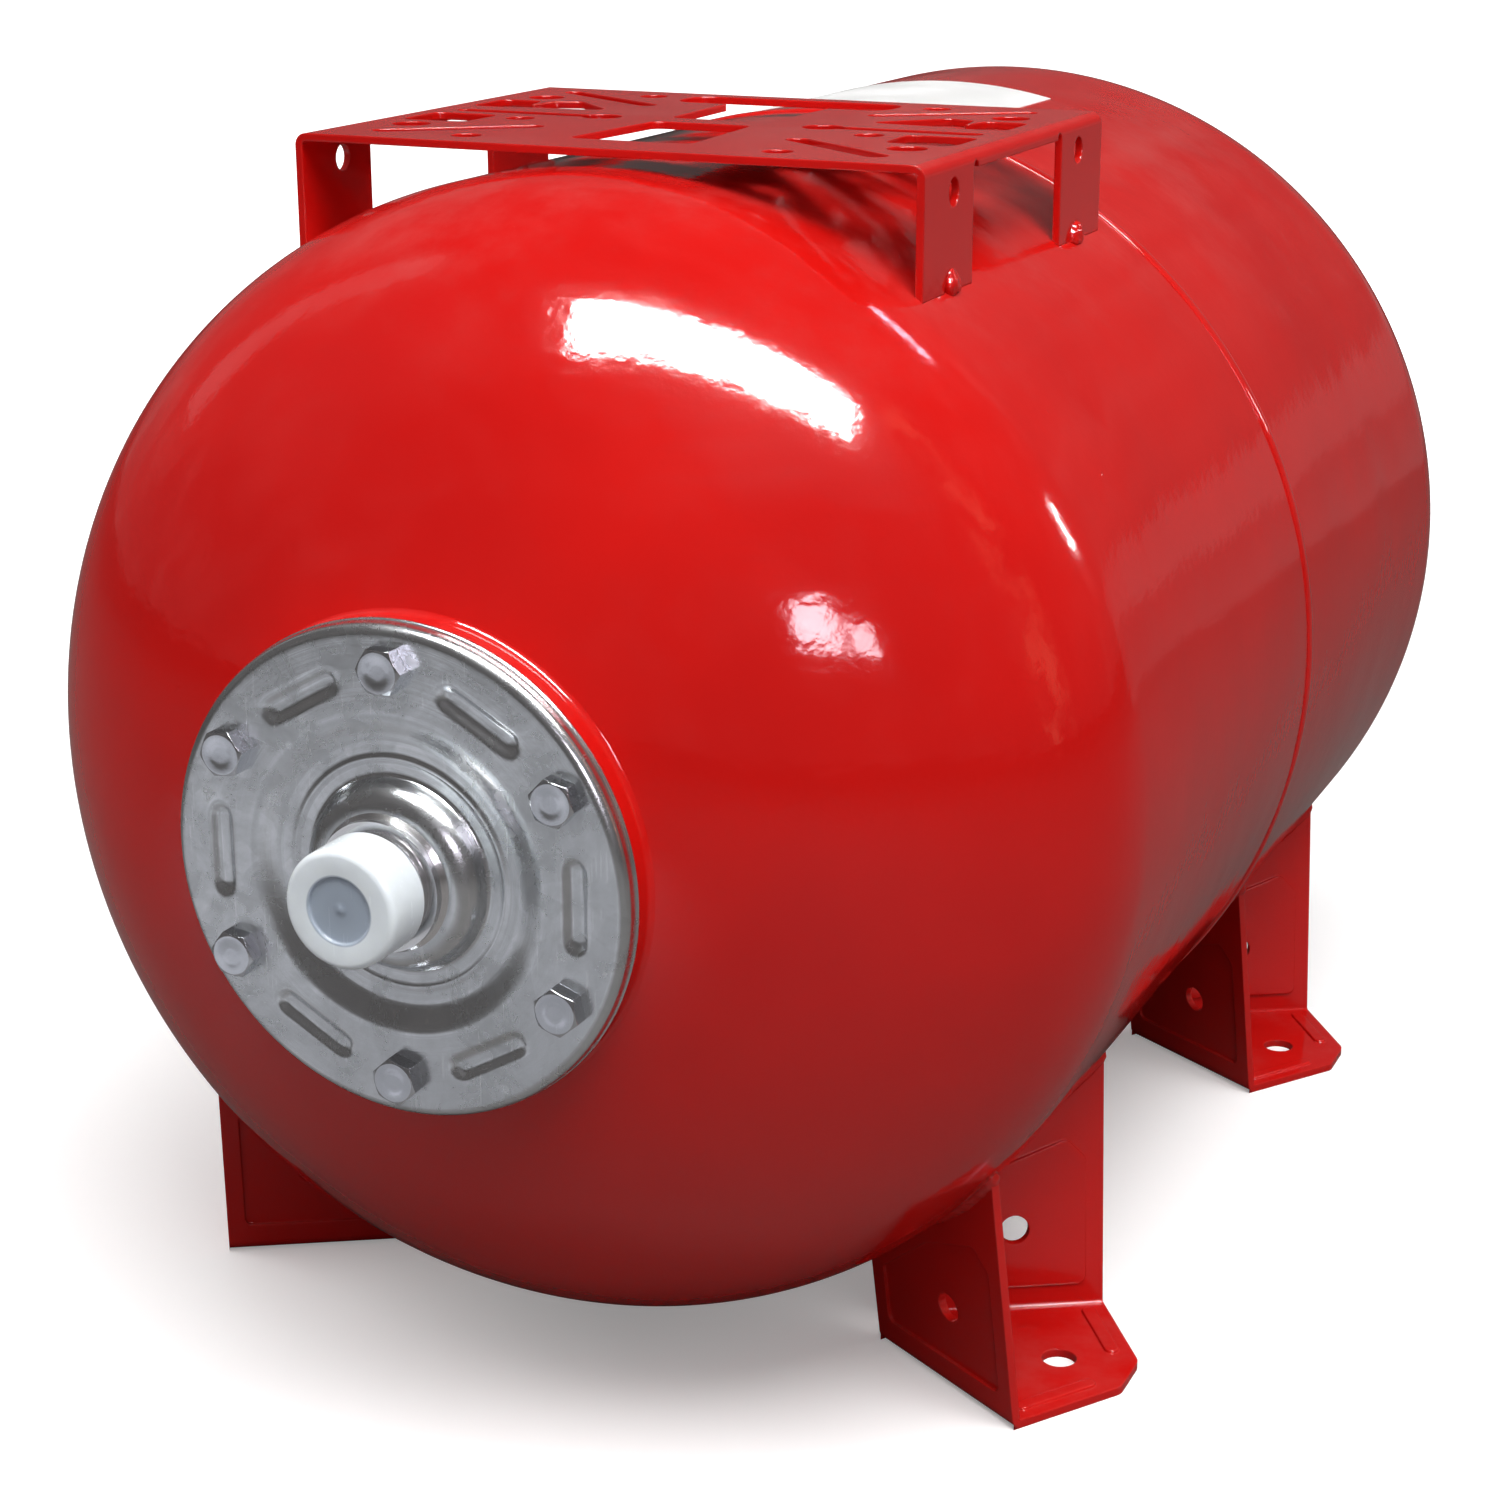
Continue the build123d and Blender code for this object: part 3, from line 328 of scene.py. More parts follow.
class ZincFinish(Finish):
    """Zinc on steel: mottled on the pressed plate, even and bright on turned parts."""

    def __init__(self, effects: Effects, name: str, tint: tuple, mottle: float, roughness: float,
                 scratches: float, turned: float = 0.0, drawn: float = 0.0,
                 round_edges: float = 0.0) -> None:
        """Builds the metal.

        Args:
            effects: the shared node groups.
            name: the material's name.
            tint: base colour.
            mottle: strength of the cloudy patches.
            roughness: mean roughness.
            scratches: amount of scratches.
            turned: depth of lathe marks.
            drawn: height of the axis that draw marks circle, or 0 for none.
            round_edges: radius of rounded edges, in metres.
        """
        g, shader, v = self.open(name)
        cloud = g.ramp(g.noise(v, 48.0, 6.0, 0.68, 0.5), 0.3, 0.72)
        spangle = g.add("TexVoronoi", {"Vector": v, "Scale": 130.0}, feature="F1")
        flake = g.add("SeparateColor", {0: spangle.outputs["Color"]}).outputs[0]
        blotch = g.times(g.math("ADD", g.times(cloud, 0.75), g.times(flake, 0.25)), mottle, clamp=True)
        colour = g.mix(blotch, tint, shaded(tint, 0.62))
        white_rust = g.ramp(g.noise(v, 85.0, 5.0, 0.7), 0.62, 0.74, 0.0, mottle)
        colour = g.mix(g.times(white_rust, 0.35), colour, (0.62, 0.62, 0.60, 1))
        mark = self.group(g, effects.scratch, v, Amount=scratches).outputs["Mask"]
        colour = g.mix(g.times(mark, 0.5), colour, (0.86, 0.86, 0.86, 1))
        spots = g.add("TexVoronoi", {"Vector": v, "Scale": 95.0}, feature="F1").outputs[0]
        spots = g.times(g.ramp(spots, 0.17, 0.10), g.ramp(g.noise(v, 20.0), 0.52, 0.6))
        colour = g.mix(g.times(spots, 0.45 * mottle), colour, (0.80, 0.82, 0.84, 1))
        # Lighter, whiter edges: a painted highlight along the edges, partly standing for rubbed bright
        # metal.
        edge = self.group(g, effects.edge, v, Amount=0.6).outputs["Edge"]
        colour = g.mix(edge, colour, (0.86, 0.87, 0.88, 1))
        g.feed(colour, shader.inputs["Base Color"])
        shader.inputs["Metallic"].default_value = 1.0
        rough = g.math("ADD", g.times(blotch, 0.16), roughness)
        rough = g.math("ADD", rough, g.times(white_rust, 0.25))
        rough = g.math("SUBTRACT", rough, g.times(mark, 0.08), clamp=True)
        g.feed(rough, shader.inputs["Roughness"])
        height = g.times(g.noise(v, 210.0, 4.0, 0.6), 5.0e-5)
        height = g.math("ADD", height, g.times(g.noise(v, 30.0, 2.0), 3.0e-4 * mottle))
        height = g.math("SUBTRACT", height, g.times(mark, 1.0e-5))
        if drawn:
            flat = g.add("Mapping", {"Vector": v, "Location": (0.0, 0.0, -drawn), "Scale": (1.0, 0.0, 1.0)})
            away = g.length(flat.outputs[0])
            round_marks = g.add("TexNoise", {"W": away, "Scale": 900.0, "Detail": 3.0},
                                noise_dimensions="1D")
            height = g.math("ADD", height, g.times(round_marks.outputs[0], 2.5e-5))
        if turned:
            along = g.axis(v, "Y")
            ring = g.math("SINE", g.times(along, 2 * math.pi / (0.35 * MM)))
            height = g.math("ADD", height, g.times(ring, turned))
        self.bump(g, shader, height, round_edges=round_edges)


class PlasticFinish(Finish):
    """Moulded plastic, plain or milky, with an optional darker disc about the tank axis."""

    def __init__(self, effects: Effects, name: str, colour: tuple, roughness: float,
                 milky: float = 0.0, disc: tuple | None = None, grain: float = 1.0) -> None:
        """Builds the plastic.

        Args:
            effects: the shared node groups.
            name: the material's name.
            colour: base colour.
            roughness: mean roughness.
            milky: weight of light scattering inside it.
            disc: centre, radius in metres and colour of a sunk disc.
            grain: depth of the mould's texture.
        """
        g, shader, v = self.open(name)
        base = g.mix(g.ramp(g.noise(v, 90.0, 3.0), 0.3, 0.7), colour, shaded(colour, 0.93))
        if disc:
            centre, radius, tint = disc
            flat = g.add("Mapping", {"Vector": v, "Location": (-centre[0], 0.0, -centre[2]),
                                     "Scale": (1.0, 0.0, 1.0)}).outputs[0]
            away = g.length(flat)
            along = g.axis(v, "Y")
            front = g.ramp(along, centre[1] + 2.2 * MM, centre[1] + 1.6 * MM)
            inside = g.times(g.ramp(away, radius * 1.03, radius * 0.97), front)
            shade = g.mix(g.ramp(away, 0.0, radius), tint, shaded(tint, 1.18))
            base = g.mix(inside, base, shade)
        # Lighter edges: a painted highlight.
        edge = self.group(g, effects.edge, v, Amount=0.25).outputs["Edge"]
        base = g.mix(edge, base, shaded(colour, 1.25, 0.02))
        g.feed(base, shader.inputs["Base Color"])
        mark = self.group(g, effects.scratch, v, Amount=0.4).outputs["Mask"]
        rough = g.math("ADD", g.times(mark, 0.12), roughness)
        g.feed(rough, shader.inputs["Roughness"])
        if milky:
            shader.inputs["Subsurface Weight"].default_value = milky
            shader.inputs["Subsurface Radius"].default_value = (1.0, 1.0, 1.1)
            shader.inputs["Subsurface Scale"].default_value = 3.0 * MM
        height = g.times(g.noise(v, 700.0, 2.0), 1.6e-5 * grain)
        self.bump(g, shader, g.math("ADD", height, g.times(g.noise(v, 60.0), 6e-5)))


class RubberFinish(Finish):
    """Matt black rubber with talc left in its grain."""

    def __init__(self, name: str) -> None:
        """Builds the rubber."""
        g, shader, v = self.open(name)
        talc = g.ramp(g.noise(v, 130.0, 5.0, 0.7), 0.52, 0.78, 0.0, 0.35)
        g.feed(g.mix(talc, (0.016, 0.016, 0.017, 1), (0.16, 0.155, 0.15, 1)),
               shader.inputs["Base Color"])
        g.feed(g.math("ADD", g.times(talc, 0.4), 0.55), shader.inputs["Roughness"])
        self.bump(g, shader, g.times(g.noise(v, 420.0, 3.0), 6e-5), round_edges=0.3 * MM)


class FilmFinish(Finish):
    """White printed film, left blank, a little cockled where it was smoothed down by hand."""

    def __init__(self, effects: Effects, name: str) -> None:
        """Builds the film."""
        g, shader, v = self.open(name)
        tone = g.ramp(g.noise(v, 30.0, 4.0), 0.3, 0.7)
        g.feed(g.mix(tone, (0.80, 0.80, 0.79, 1), (0.86, 0.86, 0.855, 1)),
               shader.inputs["Base Color"])
        g.feed(g.ramp(tone, 0.0, 1.0, 0.28, 0.36), shader.inputs["Roughness"])
        relief = self.group(g, effects.peel, v, Peel=0.7, Waves=0.8, Nibs=0.0).outputs["Height"]
        self.bump(g, shader, relief)


# ---- Modelling helpers ----
def arc(cx: float, cy: float, rx: float, ry: float, start: float, end: float, steps: int) -> list[Point]:
    """Points of an elliptical arc, from and to angles in degrees, both ends included."""
    turn = [math.radians(start + (end - start) * i / steps) for i in range(steps + 1)]
    return [(cx + rx * math.cos(a), cy + ry * math.sin(a)) for a in turn]


def divided(a: Point, b: Point, steps: int) -> list[Point]:
    """Points that divide a straight run evenly, without its two ends."""
    return [(a[0] + (b[0] - a[0]) * i / steps, a[1] + (b[1] - a[1]) * i / steps) for i in range(1, steps)]


def smooth(t: float) -> float:
    """Soft step from 0 to 1."""
    t = min(1.0, max(0.0, t))
    return t * t * (3 - 2 * t)


def deselect() -> None:
    """Lets go of every object."""
    bpy.ops.object.select_all(action="DESELECT")


def start_piece(name: str) -> bpy.types.Object:
    """Names the primitive that was just added and opens it in edit mode."""
    piece = bpy.context.object
    piece.name = name
    piece.data.name = name
    bpy.ops.object.mode_set(mode="EDIT")
    bpy.ops.mesh.select_mode(type="VERT")
    return piece


def finish_piece(piece: bpy.types.Object, body: Piece, finish: Finish, slot: str, *nodes: str,
                 angle: float = 30.0) -> bpy.types.Object:
    """Closes edit mode, puts the piece's place into its mesh, gives it its finish, sets it on its body and
    hides the CAD nodes it stands for.

    Args:
        piece: the piece being edited.
        body: the body that it rides on.
        finish: its finish.
        slot: the record's slot that the finish belongs to; not used.
        nodes: CAD nodes that it stands for.
        angle: edges sharper than this stay sharp, in degrees.

    Returns:
        The piece.
    """
    if bpy.context.mode != "OBJECT":
        bpy.ops.mesh.select_all(action="SELECT")
        bpy.ops.mesh.remove_doubles(threshold=1e-6)
        bpy.ops.mesh.normals_make_consistent(inside=False)
        bpy.ops.object.mode_set(mode="OBJECT")
    deselect()
    piece.select_set(True)
    bpy.context.view_layer.objects.active = piece
    bpy.ops.object.transform_apply(location=True, rotation=True, scale=True)
    bpy.ops.object.shade_smooth_by_angle(angle=math.radians(angle))
    piece.data.materials.clear()
    piece.data.materials.append(finish.material)
    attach(piece, body.value)
    if nodes:
        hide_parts(*nodes)
    log.info("%s: %d faces, rides on %s", piece.name, len(piece.data.polygons), body.value)
    return piece


def lathe(name: str, profile: list[Point], axis_z: float, steps: int, angle: float = 360.0,
          start: float = 0.0, closed: bool = True) -> bpy.types.Object:
    """Turns a profile about the tank axis and leaves the piece in edit mode.

    Args:
        name: the piece's name.
        profile: points as radius and place along the tank, in metres.
        axis_z: height of the tank axis.
        steps: divisions round the axis.
        angle: how far the profile is turned, in degrees.
        start: where the turn starts, in degrees from +X.
        closed: whether the last point joins the first.

    Returns:
        The piece, in edit mode.
    """
    deselect()
    first = Vector((profile[0][0], profile[0][1], axis_z))
    bpy.ops.mesh.primitive_plane_add(size=MM, location=first)
    piece = start_piece(name)
    bpy.ops.mesh.select_all(action="SELECT")
    bpy.ops.mesh.merge(type="CENTER")
    for (r0, y0), (r1, y1) in zip(profile, profile[1:] + (profile[:1] if closed else [])):
        bpy.ops.mesh.extrude_region_move(TRANSFORM_OT_translate={"value": (r1 - r0, y1 - y0, 0.0)})
    bpy.ops.mesh.select_all(action="SELECT")
    centre = (0.0, 0.0, axis_z)
    if start:
        bpy.ops.transform.rotate(value=math.radians(start), orient_axis="Y", center_override=centre)
    bpy.ops.mesh.spin(steps=steps, angle=math.radians(angle), center=centre, axis=(0.0, 1.0, 0.0))
    bpy.ops.mesh.select_all(action="SELECT")
    bpy.ops.mesh.remove_doubles(threshold=1e-6)
    return piece


def join_pieces(pieces: list[bpy.types.Object], name: str) -> bpy.types.Object:
    """Joins pieces into the first of them, names it and leaves it in edit mode."""
    deselect()
    for piece in pieces:
        piece.select_set(True)
    bpy.context.view_layer.objects.active = pieces[0]
    bpy.ops.object.join()
    pieces[0].name = name
    bpy.ops.object.mode_set(mode="EDIT")
    return pieces[0]


def move_points(piece: bpy.types.Object, move) -> None:
    """Moves every vertex of a piece in edit mode by a function of its place in the object."""
    mesh = bmesh.from_edit_mesh(piece.data)
    place = piece.matrix_world
    back = place.inverted()
    for vertex in mesh.verts:
        vertex.co = back @ move(place @ vertex.co)
    bmesh.update_edit_mesh(piece.data)


# ---- Sub-assemblies ----
@dataclass
class Layout:
    """Places that every sub-assembly shares, read from the frame, in metres."""

    axis_z: float
    straight_y: float
    face_y: float

    @classmethod
    def from_frame(cls) -> "Layout":
        """Reads the tank axis, the front of the straight shell and the flange's face."""
        low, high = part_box("rear_shell")
        seam = low[1]
        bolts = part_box("flange_bolts")
        return cls(axis_z=(low[2] + high[2]) / 2, straight_y=seam - STRAIGHT_LENGTH / 2,
                   face_y=bolts[1][1] - SCREW_SHANK)


@dataclass
class TankShell:
    """Two deep-drawn halves, the girth weld between them and the blank label."""

    radius: float = SHELL_RADIUS
    wall: float = 2.0 * MM
    head: float = HEAD_DEPTH
    length: float = STRAIGHT_LENGTH
    mouth: float = 75.5 * MM
    valve: float = 14.0 * MM
    bead_width: float = 6.0 * MM
    bead_height: float = 1.2 * MM
    steps: int = 320

    def _half(self, hole: float, seam: float, depth: float) -> list[Point]:
        """Closed profile of one half, from its hole round the end to the seam and back inside."""
        turn = math.degrees(math.acos(hole / self.radius))
        outer = arc(0, 0, self.radius, depth, turn, 0, 56)
        inner_r, inner_d = self.radius - self.wall, depth - self.wall
        turn_in = math.degrees(math.acos(hole / inner_r))
        inner = arc(0, 0, inner_r, inner_d, 0, turn_in, 40)
        run = divided(outer[-1], (self.radius, -seam), 12)
        return outer + run + [(self.radius, -seam), (inner_r, -seam)] + inner

    def build(self, lay: Layout, paint: Finish, film: Finish) -> None:
        """Builds both halves, the bead and the label.

        Args:
            lay: shared places.
            paint: the shell's paint.
            film: the label's film.
        """
        seam = self.length / 2
        front = [(r, lay.straight_y - y) for r, y in self._half(self.mouth, seam, self.head)]
        rear_y = lay.straight_y + self.length
        rear = [(r, rear_y + y) for r, y in self._half(self.valve, seam, self.head)]
        for name, profile in (("front_half", front), ("rear_half", rear)):
            piece = lathe(name, profile, lay.axis_z, self.steps)
            finish_piece(piece, Piece.TANK, paint, "shell_paint", name.replace("half", "shell"))
        self._bead(lay, paint, lay.straight_y + seam)
        self._mouth_bead(lay, paint)
        self._label(lay, film)

    def _bead(self, lay: Layout, paint: Finish, seam_y: float) -> None:
        """Girth weld: a low crown whose height and edge wander a little round the tank."""
        half = self.bead_width / 2
        crown = arc(self.radius, seam_y, self.bead_height, half, 90, -90, 10)
        profile = crown + [(self.radius - 0.2 * MM, seam_y - half), (self.radius - 0.2 * MM, seam_y + half)]
        piece = lathe("girth_bead", profile, lay.axis_z, self.steps)

        def wander(p: Vector) -> Vector:
            """Lets the crown sink and drift by a few tenths of a millimetre."""
            radial = Vector((p.x, 0.0, p.z - lay.axis_z))
            proud = max(0.0, radial.length - self.radius) / self.bead_height
            wave = noise.noise(Vector((p.x, 0.0, p.z)) * 26.0)
            wave += 0.5 * noise.noise(Vector((p.x, 9.0, p.z)) * 90.0)
            radial.normalize()
            return p - radial * proud * (0.30 * MM * (wave + 1.0)) + Vector((0, wave * 0.3 * MM * proud, 0))

        move_points(piece, wander)
        finish_piece(piece, Piece.TANK, paint, "shell_paint", "girth_weld", angle=60)

    def _mouth_bead(self, lay: Layout, paint: Finish) -> None:
        """Smooth hollow fillet between the mouth ring and the shell."""
        reach = 3.1 * MM
        foot_r = self.mouth + reach
        shell_y = -self.head * math.sqrt(1 - (foot_r / self.radius) ** 2)
        root_y = -self.head * math.sqrt(1 - (self.mouth / self.radius) ** 2)
        hollow = arc(foot_r, shell_y - reach * 1.1, reach, reach * 1.1, 90, 180, 10)
        profile = [(r, y + 0.03 * MM) for r, y in hollow] + [(self.mouth, root_y + 0.6 * MM)]
        placed = [(r, lay.straight_y + y) for r, y in profile]
        piece = lathe("mouth_fillet", placed, lay.axis_z, self.steps)
        finish_piece(piece, Piece.TANK, paint, "mouth_paint", "mouth_weld", angle=70)

    def _label(self, lay: Layout, film: Finish) -> None:
        """Blank film sticker that follows the shell."""
        low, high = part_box("label")
        skin = self.radius + 0.3 * MM
        span = divided((skin, low[1]), (skin, high[1]), 24)
        top = [(skin, low[1] + 0.2 * MM)] + span + [(skin, high[1] - 0.2 * MM)]
        under = [(self.radius + 0.02 * MM, high[1]), (self.radius + 0.02 * MM, low[1])]
        left = math.degrees(math.asin(low[0] / self.radius))
        right = math.degrees(math.asin(high[0] / self.radius))
        piece = lathe("blank_label", top + under, lay.axis_z, 40, angle=right - left)
        self._swing(piece, lay, left, right)
        bpy.ops.mesh.select_all(action="SELECT")
        bpy.ops.mesh.fill_holes(sides=0)
        finish_piece(piece, Piece.TANK, film, "label_film", "label")

    def _swing(self, piece: bpy.types.Object, lay: Layout, left: float, right: float) -> None:
        """Turns the label about the tank axis until its middle is where it belongs."""
        mesh = bmesh.from_edit_mesh(piece.data)
        place = piece.matrix_world
        mean = sum(((place @ v.co) for v in mesh.verts), Vector()) / len(mesh.verts)
        now = math.atan2(mean.x, mean.z - lay.axis_z)
        want = math.radians((left + right) / 2)
        turn = Matrix.Rotation(want - now, 4, "Y")
        centre = Vector((0.0, 0.0, lay.axis_z))
        move_points(piece, lambda p: turn @ (p - centre) + centre)


@dataclass
class MouthFlange:
    """Pressed flange with its bolts, and the push-on cap of the water connection."""

    radius: float = 76.1 * MM
    sheet: float = 3.0 * MM
    rim: float = 7.0 * MM
    rim_round: float = 3.4 * MM
    flare: float = 0.5 * MM
    flare_depth: float = 0.9 * MM
    step_outer: float = 49.0 * MM
    step_inner: float = 41.0 * MM
    step: float = 2.9 * MM
    boss_base: float = 29.5 * MM
    boss_top: float = 21.4 * MM
    boss: float = 8.6 * MM
    spigot: float = 17.5 * MM
    bolt_circle: float = 63.5 * MM
    bolts: int = 6
    rib_r: float = 59.5 * MM
    rib_half: float = 10.5 * MM
    rib_width: float = 4.6 * MM
    rib_depth: float = 1.5 * MM
    ring_r: float = 35.5 * MM
    ring_height: float = 0.35 * MM
    flats: float = 13.0 * MM
    head: float = 5.5 * MM
    shank: float = SCREW_SHANK
    steps: int = 288

    def _profile(self, face: float) -> list[Point]:
        """Closed profile of the plate: front face outwards, rim, and back."""
        disc = face + self.step
        soft = arc(self.boss_base + 1.6 * MM, disc - 1.6 * MM, 1.6 * MM, 1.6 * MM, 150, 90, 4)
        front = [(self.spigot, disc - self.boss)]
        front += arc(self.boss_top, disc, self.boss_base - self.boss_top, self.boss, -90, -14, 12) + soft
        front += divided(soft[-1], (self.step_inner - 1.2 * MM, disc), 14)
        run = self.step_outer - self.step_inner + 2.4 * MM
        front += [(self.step_inner - 1.2 * MM + i / 12 * run, disc - smooth(i / 12) * self.step)
                  for i in range(13)]
        start = front[-1]
        turn_r = self.radius - self.rim_round
        front += divided(start, (turn_r, face), 30)
        front += arc(turn_r, face + self.rim_round, self.rim_round, self.rim_round, -90, 0, 10)
        back_y = face + self.rim
        flare_y = back_y - self.flare_depth
        front += [(self.radius, flare_y - 0.4 * MM), (self.radius + self.flare * 0.6, flare_y),
                  (self.radius + self.flare, flare_y + 0.25 * MM),
                  (self.radius + self.flare, back_y - 0.2 * MM),
                  (self.radius + self.flare - 0.2 * MM, back_y)]
        under = self.radius - self.sheet
        back = face + self.sheet
        front += [(under, back_y), (under, back + 1.0 * MM), (under - 1.0 * MM, back),
                  (self.step_outer + 0.4 * MM, back), (self.step_inner - 2.0 * MM, disc + self.sheet),
                  (self.boss_base - self.sheet, disc + self.sheet), (self.spigot, disc - self.boss / 2)]
        return front

    def _press(self, lay: Layout):
        """Returns the move that presses the ribs into the plate's front face and raises a low ring on it.
        """
        step = math.tau / self.bolts

        def move(p: Vector) -> Vector:
            """Pushes a point in where a rib lies, lifts it on a low ring and lets it waver a little."""
            if p.y > lay.face_y + 2.95 * MM:
                return p
            angle = math.atan2(p.x, p.z - lay.axis_z)
            near = (round(angle / step - 0.5) + 0.5) * step
            r = math.hypot(p.x, p.z - lay.axis_z)
            u, v = r * math.sin(angle - near), r * math.cos(angle - near) - self.rib_r
            away = math.hypot(max(0.0, abs(u) - self.rib_half), v)
            depth = self.rib_depth * smooth((self.rib_width - away) / (3.2 * MM))
            sway = noise.noise(Vector((p.x, 0.0, p.z)) * 38.0) * 0.12 * MM
            depth -= self.ring_height * smooth(1.0 - abs(r - self.ring_r) / (1.6 * MM))
            return p + Vector((0.0, depth + sway, 0.0))

        return move

    def build(self, lay: Layout, zinc: Finish, bolt_zinc: Finish, milk: Finish) -> None:
        """Builds the plate, its bolts and the cap."""
        piece = lathe("flange_plate", self._profile(lay.face_y), lay.axis_z, self.steps)
        move_points(piece, self._press(lay))
        finish_piece(piece, Piece.TANK, zinc, "flange_zinc", "flange", angle=50)
        self._bolts(lay, bolt_zinc)
        self._cap(lay, milk)

    def _bolts(self, lay: Layout, finish: Finish) -> None:
        """Six hexagon screws: one is modelled and copied round the circle."""
        centre = Vector((0.0, lay.face_y - self.head / 2, lay.axis_z + self.bolt_circle))
        corner = self.flats / math.sqrt(3)
        deselect()
        bpy.ops.mesh.primitive_cylinder_add(vertices=72, radius=corner, depth=self.head, location=centre,
                                            rotation=(math.pi / 2, 0.0, 0.0))
        first = start_piece("flange_screws")
        crown = self.flats / 2 - 0.35 * MM
        self._pick(first, lambda c: c.y < centre.y - self.head * 0.4)
        for thickness, depth in ((corner - crown, 0.0), (2.2 * MM, 0.0), (0.5 * MM, -0.10 * MM),
                                 (1.5 * MM, -0.04 * MM)):
            bpy.ops.mesh.inset(thickness=thickness, depth=depth)
        self._pick(first, lambda c: c.y > centre.y + self.head * 0.4)
        bpy.ops.mesh.inset(thickness=corner - 4.0 * MM, depth=0.0)
        bpy.ops.mesh.extrude_region_move(TRANSFORM_OT_translate={"value": (0.0, self.shank - MM, 0.0)})
        bpy.ops.mesh.extrude_region_move(TRANSFORM_OT_translate={"value": (0.0, MM, 0.0)})
        bpy.ops.transform.resize(value=(0.75, 1.0, 0.75))

        def hexagon(p: Vector) -> Vector:
            """Pulls the head's round side in to its flats and turns its corners down."""
            dx, dz = p.x - centre.x, p.z - centre.z
            r = math.hypot(dx, dz)
            if p.y > centre.y + self.head * 0.6 or r < crown * 0.99:
                return p
            angle = (math.atan2(dx, dz) + math.pi / 6) % (math.pi / 3) - math.pi / 6
            side = self.flats / 2 / math.cos(angle)
            reach = side if r > crown * 1.02 else r
            if p.y < centre.y:
                p.y += max(0.0, reach - crown) * math.tan(math.radians(30))
            return Vector((centre.x + dx * reach / r, p.y, centre.z + dz * reach / r))

        move_points(first, hexagon)
        bpy.ops.object.mode_set(mode="OBJECT")
        copies = [first]
        middle = Matrix.Translation((0.0, 0.0, lay.axis_z))
        for i in range(1, self.bolts):
            copy = first.copy()
            copy.data = first.data.copy()
            bpy.context.collection.objects.link(copy)
            spin = Matrix.Rotation(0.35 * math.sin(7.0 * i), 4, "Y")
            here = Matrix.Translation(centre)
            turn = Matrix.Rotation(math.tau * i / self.bolts, 4, "Y")
            swung = middle @ turn @ middle.inverted()
            copy.matrix_world = swung @ here @ spin @ here.inverted() @ first.matrix_world
            copies.append(copy)
        joined = join_pieces(copies, "flange_screws")
        finish_piece(joined, Piece.TANK, finish, "bolt_zinc", "flange_bolts", angle=14)

    def _pick(self, piece: bpy.types.Object, test) -> None:
        """Selects the faces whose middle passes a test, in the object's own frame."""
        bpy.ops.mesh.select_mode(type="FACE")
        bpy.ops.mesh.select_all(action="DESELECT")
        mesh = bmesh.from_edit_mesh(piece.data)
        for face in mesh.faces:
            face.select_set(test(piece.matrix_world @ face.calc_center_median()))
        bmesh.update_edit_mesh(piece.data)

    def _cap(self, lay: Layout, finish: Finish) -> None:
        """Soft push-on cap with a rounded nose, a sunk disc and a small gate mark."""
        low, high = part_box("thread_cap")
        face, back, outer = low[1], high[1], (high[0] - low[0]) / 2
        inner = outer - 1.5 * MM
        sunk = face + 1.0 * MM
        profile = [(0.0, sunk - 0.25 * MM), (0.9 * MM, sunk - 0.25 * MM), (1.2 * MM, sunk)]
        profile += divided((1.2 * MM, sunk), (9.4 * MM, sunk), 5)
        profile += arc(9.4 * MM, sunk - 0.5 * MM, 0.6 * MM, 0.5 * MM, 90, 0, 4)
        profile += arc(10.5 * MM, face + 0.5 * MM, 0.5 * MM, 0.5 * MM, 180, 270, 4)
        nose = 2.2 * MM
        profile += arc(outer - nose, face + nose, nose, nose, -90, -4, 10)
        profile += divided((outer, face + nose), (outer, back - 1.6 * MM), 8)
        profile += [(outer, back - 1.6 * MM), (outer, back - 0.4 * MM), (outer - 0.4 * MM, back),
                    (inner, back), (inner, sunk + 1.2 * MM), (0.0, sunk + 1.2 * MM)]
        piece = lathe("push_on_cap", profile, lay.axis_z, 128, closed=False)
        finish_piece(piece, Piece.CAP, finish, "cap_plastic", "thread_cap", angle=40)


@dataclass
class WeldNuggets:
    """Plug welds at the feet of the platform's legs."""

    radius: float = 6.6 * MM

    def build(self, lay: Layout, paint: Finish) -> None:
        """Models one lumpy nugget for each leg and joins them."""
        low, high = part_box("platform_welds")
        made = []
        deselect()
        for i, (x, y) in enumerate(((-1, -1), (-1, 1), (1, -1), (1, 1))):
            cx = (high[0] - 4.6 * MM) if x > 0 else (low[0] + 4.6 * MM)
            cy = (high[1] - self.radius) if y > 0 else (low[1] + self.radius)
            centre = Vector((cx, cy, lay.axis_z + math.sqrt(SHELL_RADIUS ** 2 - cx * cx) + 0.2 * MM))
            bpy.ops.mesh.primitive_ico_sphere_add(subdivisions=4, radius=self.radius, location=centre)
            lump = start_piece(f"leg_weld_{i}")

            def shape(p: Vector, c: Vector = centre) -> Vector:
                """Flattens the ball against the leg and roughens it into a bead."""
                d = p - c
                lumps = noise.noise(p * 160.0) * 0.22 + noise.noise(p * 420.0) * 0.07
                d *= 0.92 + lumps
                d.x *= 0.62
                d.z = d.z * (1.0 if d.z > 0 else 0.6)
                return c + d

            move_points(lump, shape)
            bpy.ops.object.mode_set(mode="OBJECT")
            made.append(lump)
        joined = join_pieces(made, "leg_welds")
        finish_piece(joined, Piece.TANK, paint, "platform_paint", "platform_welds", angle=80)


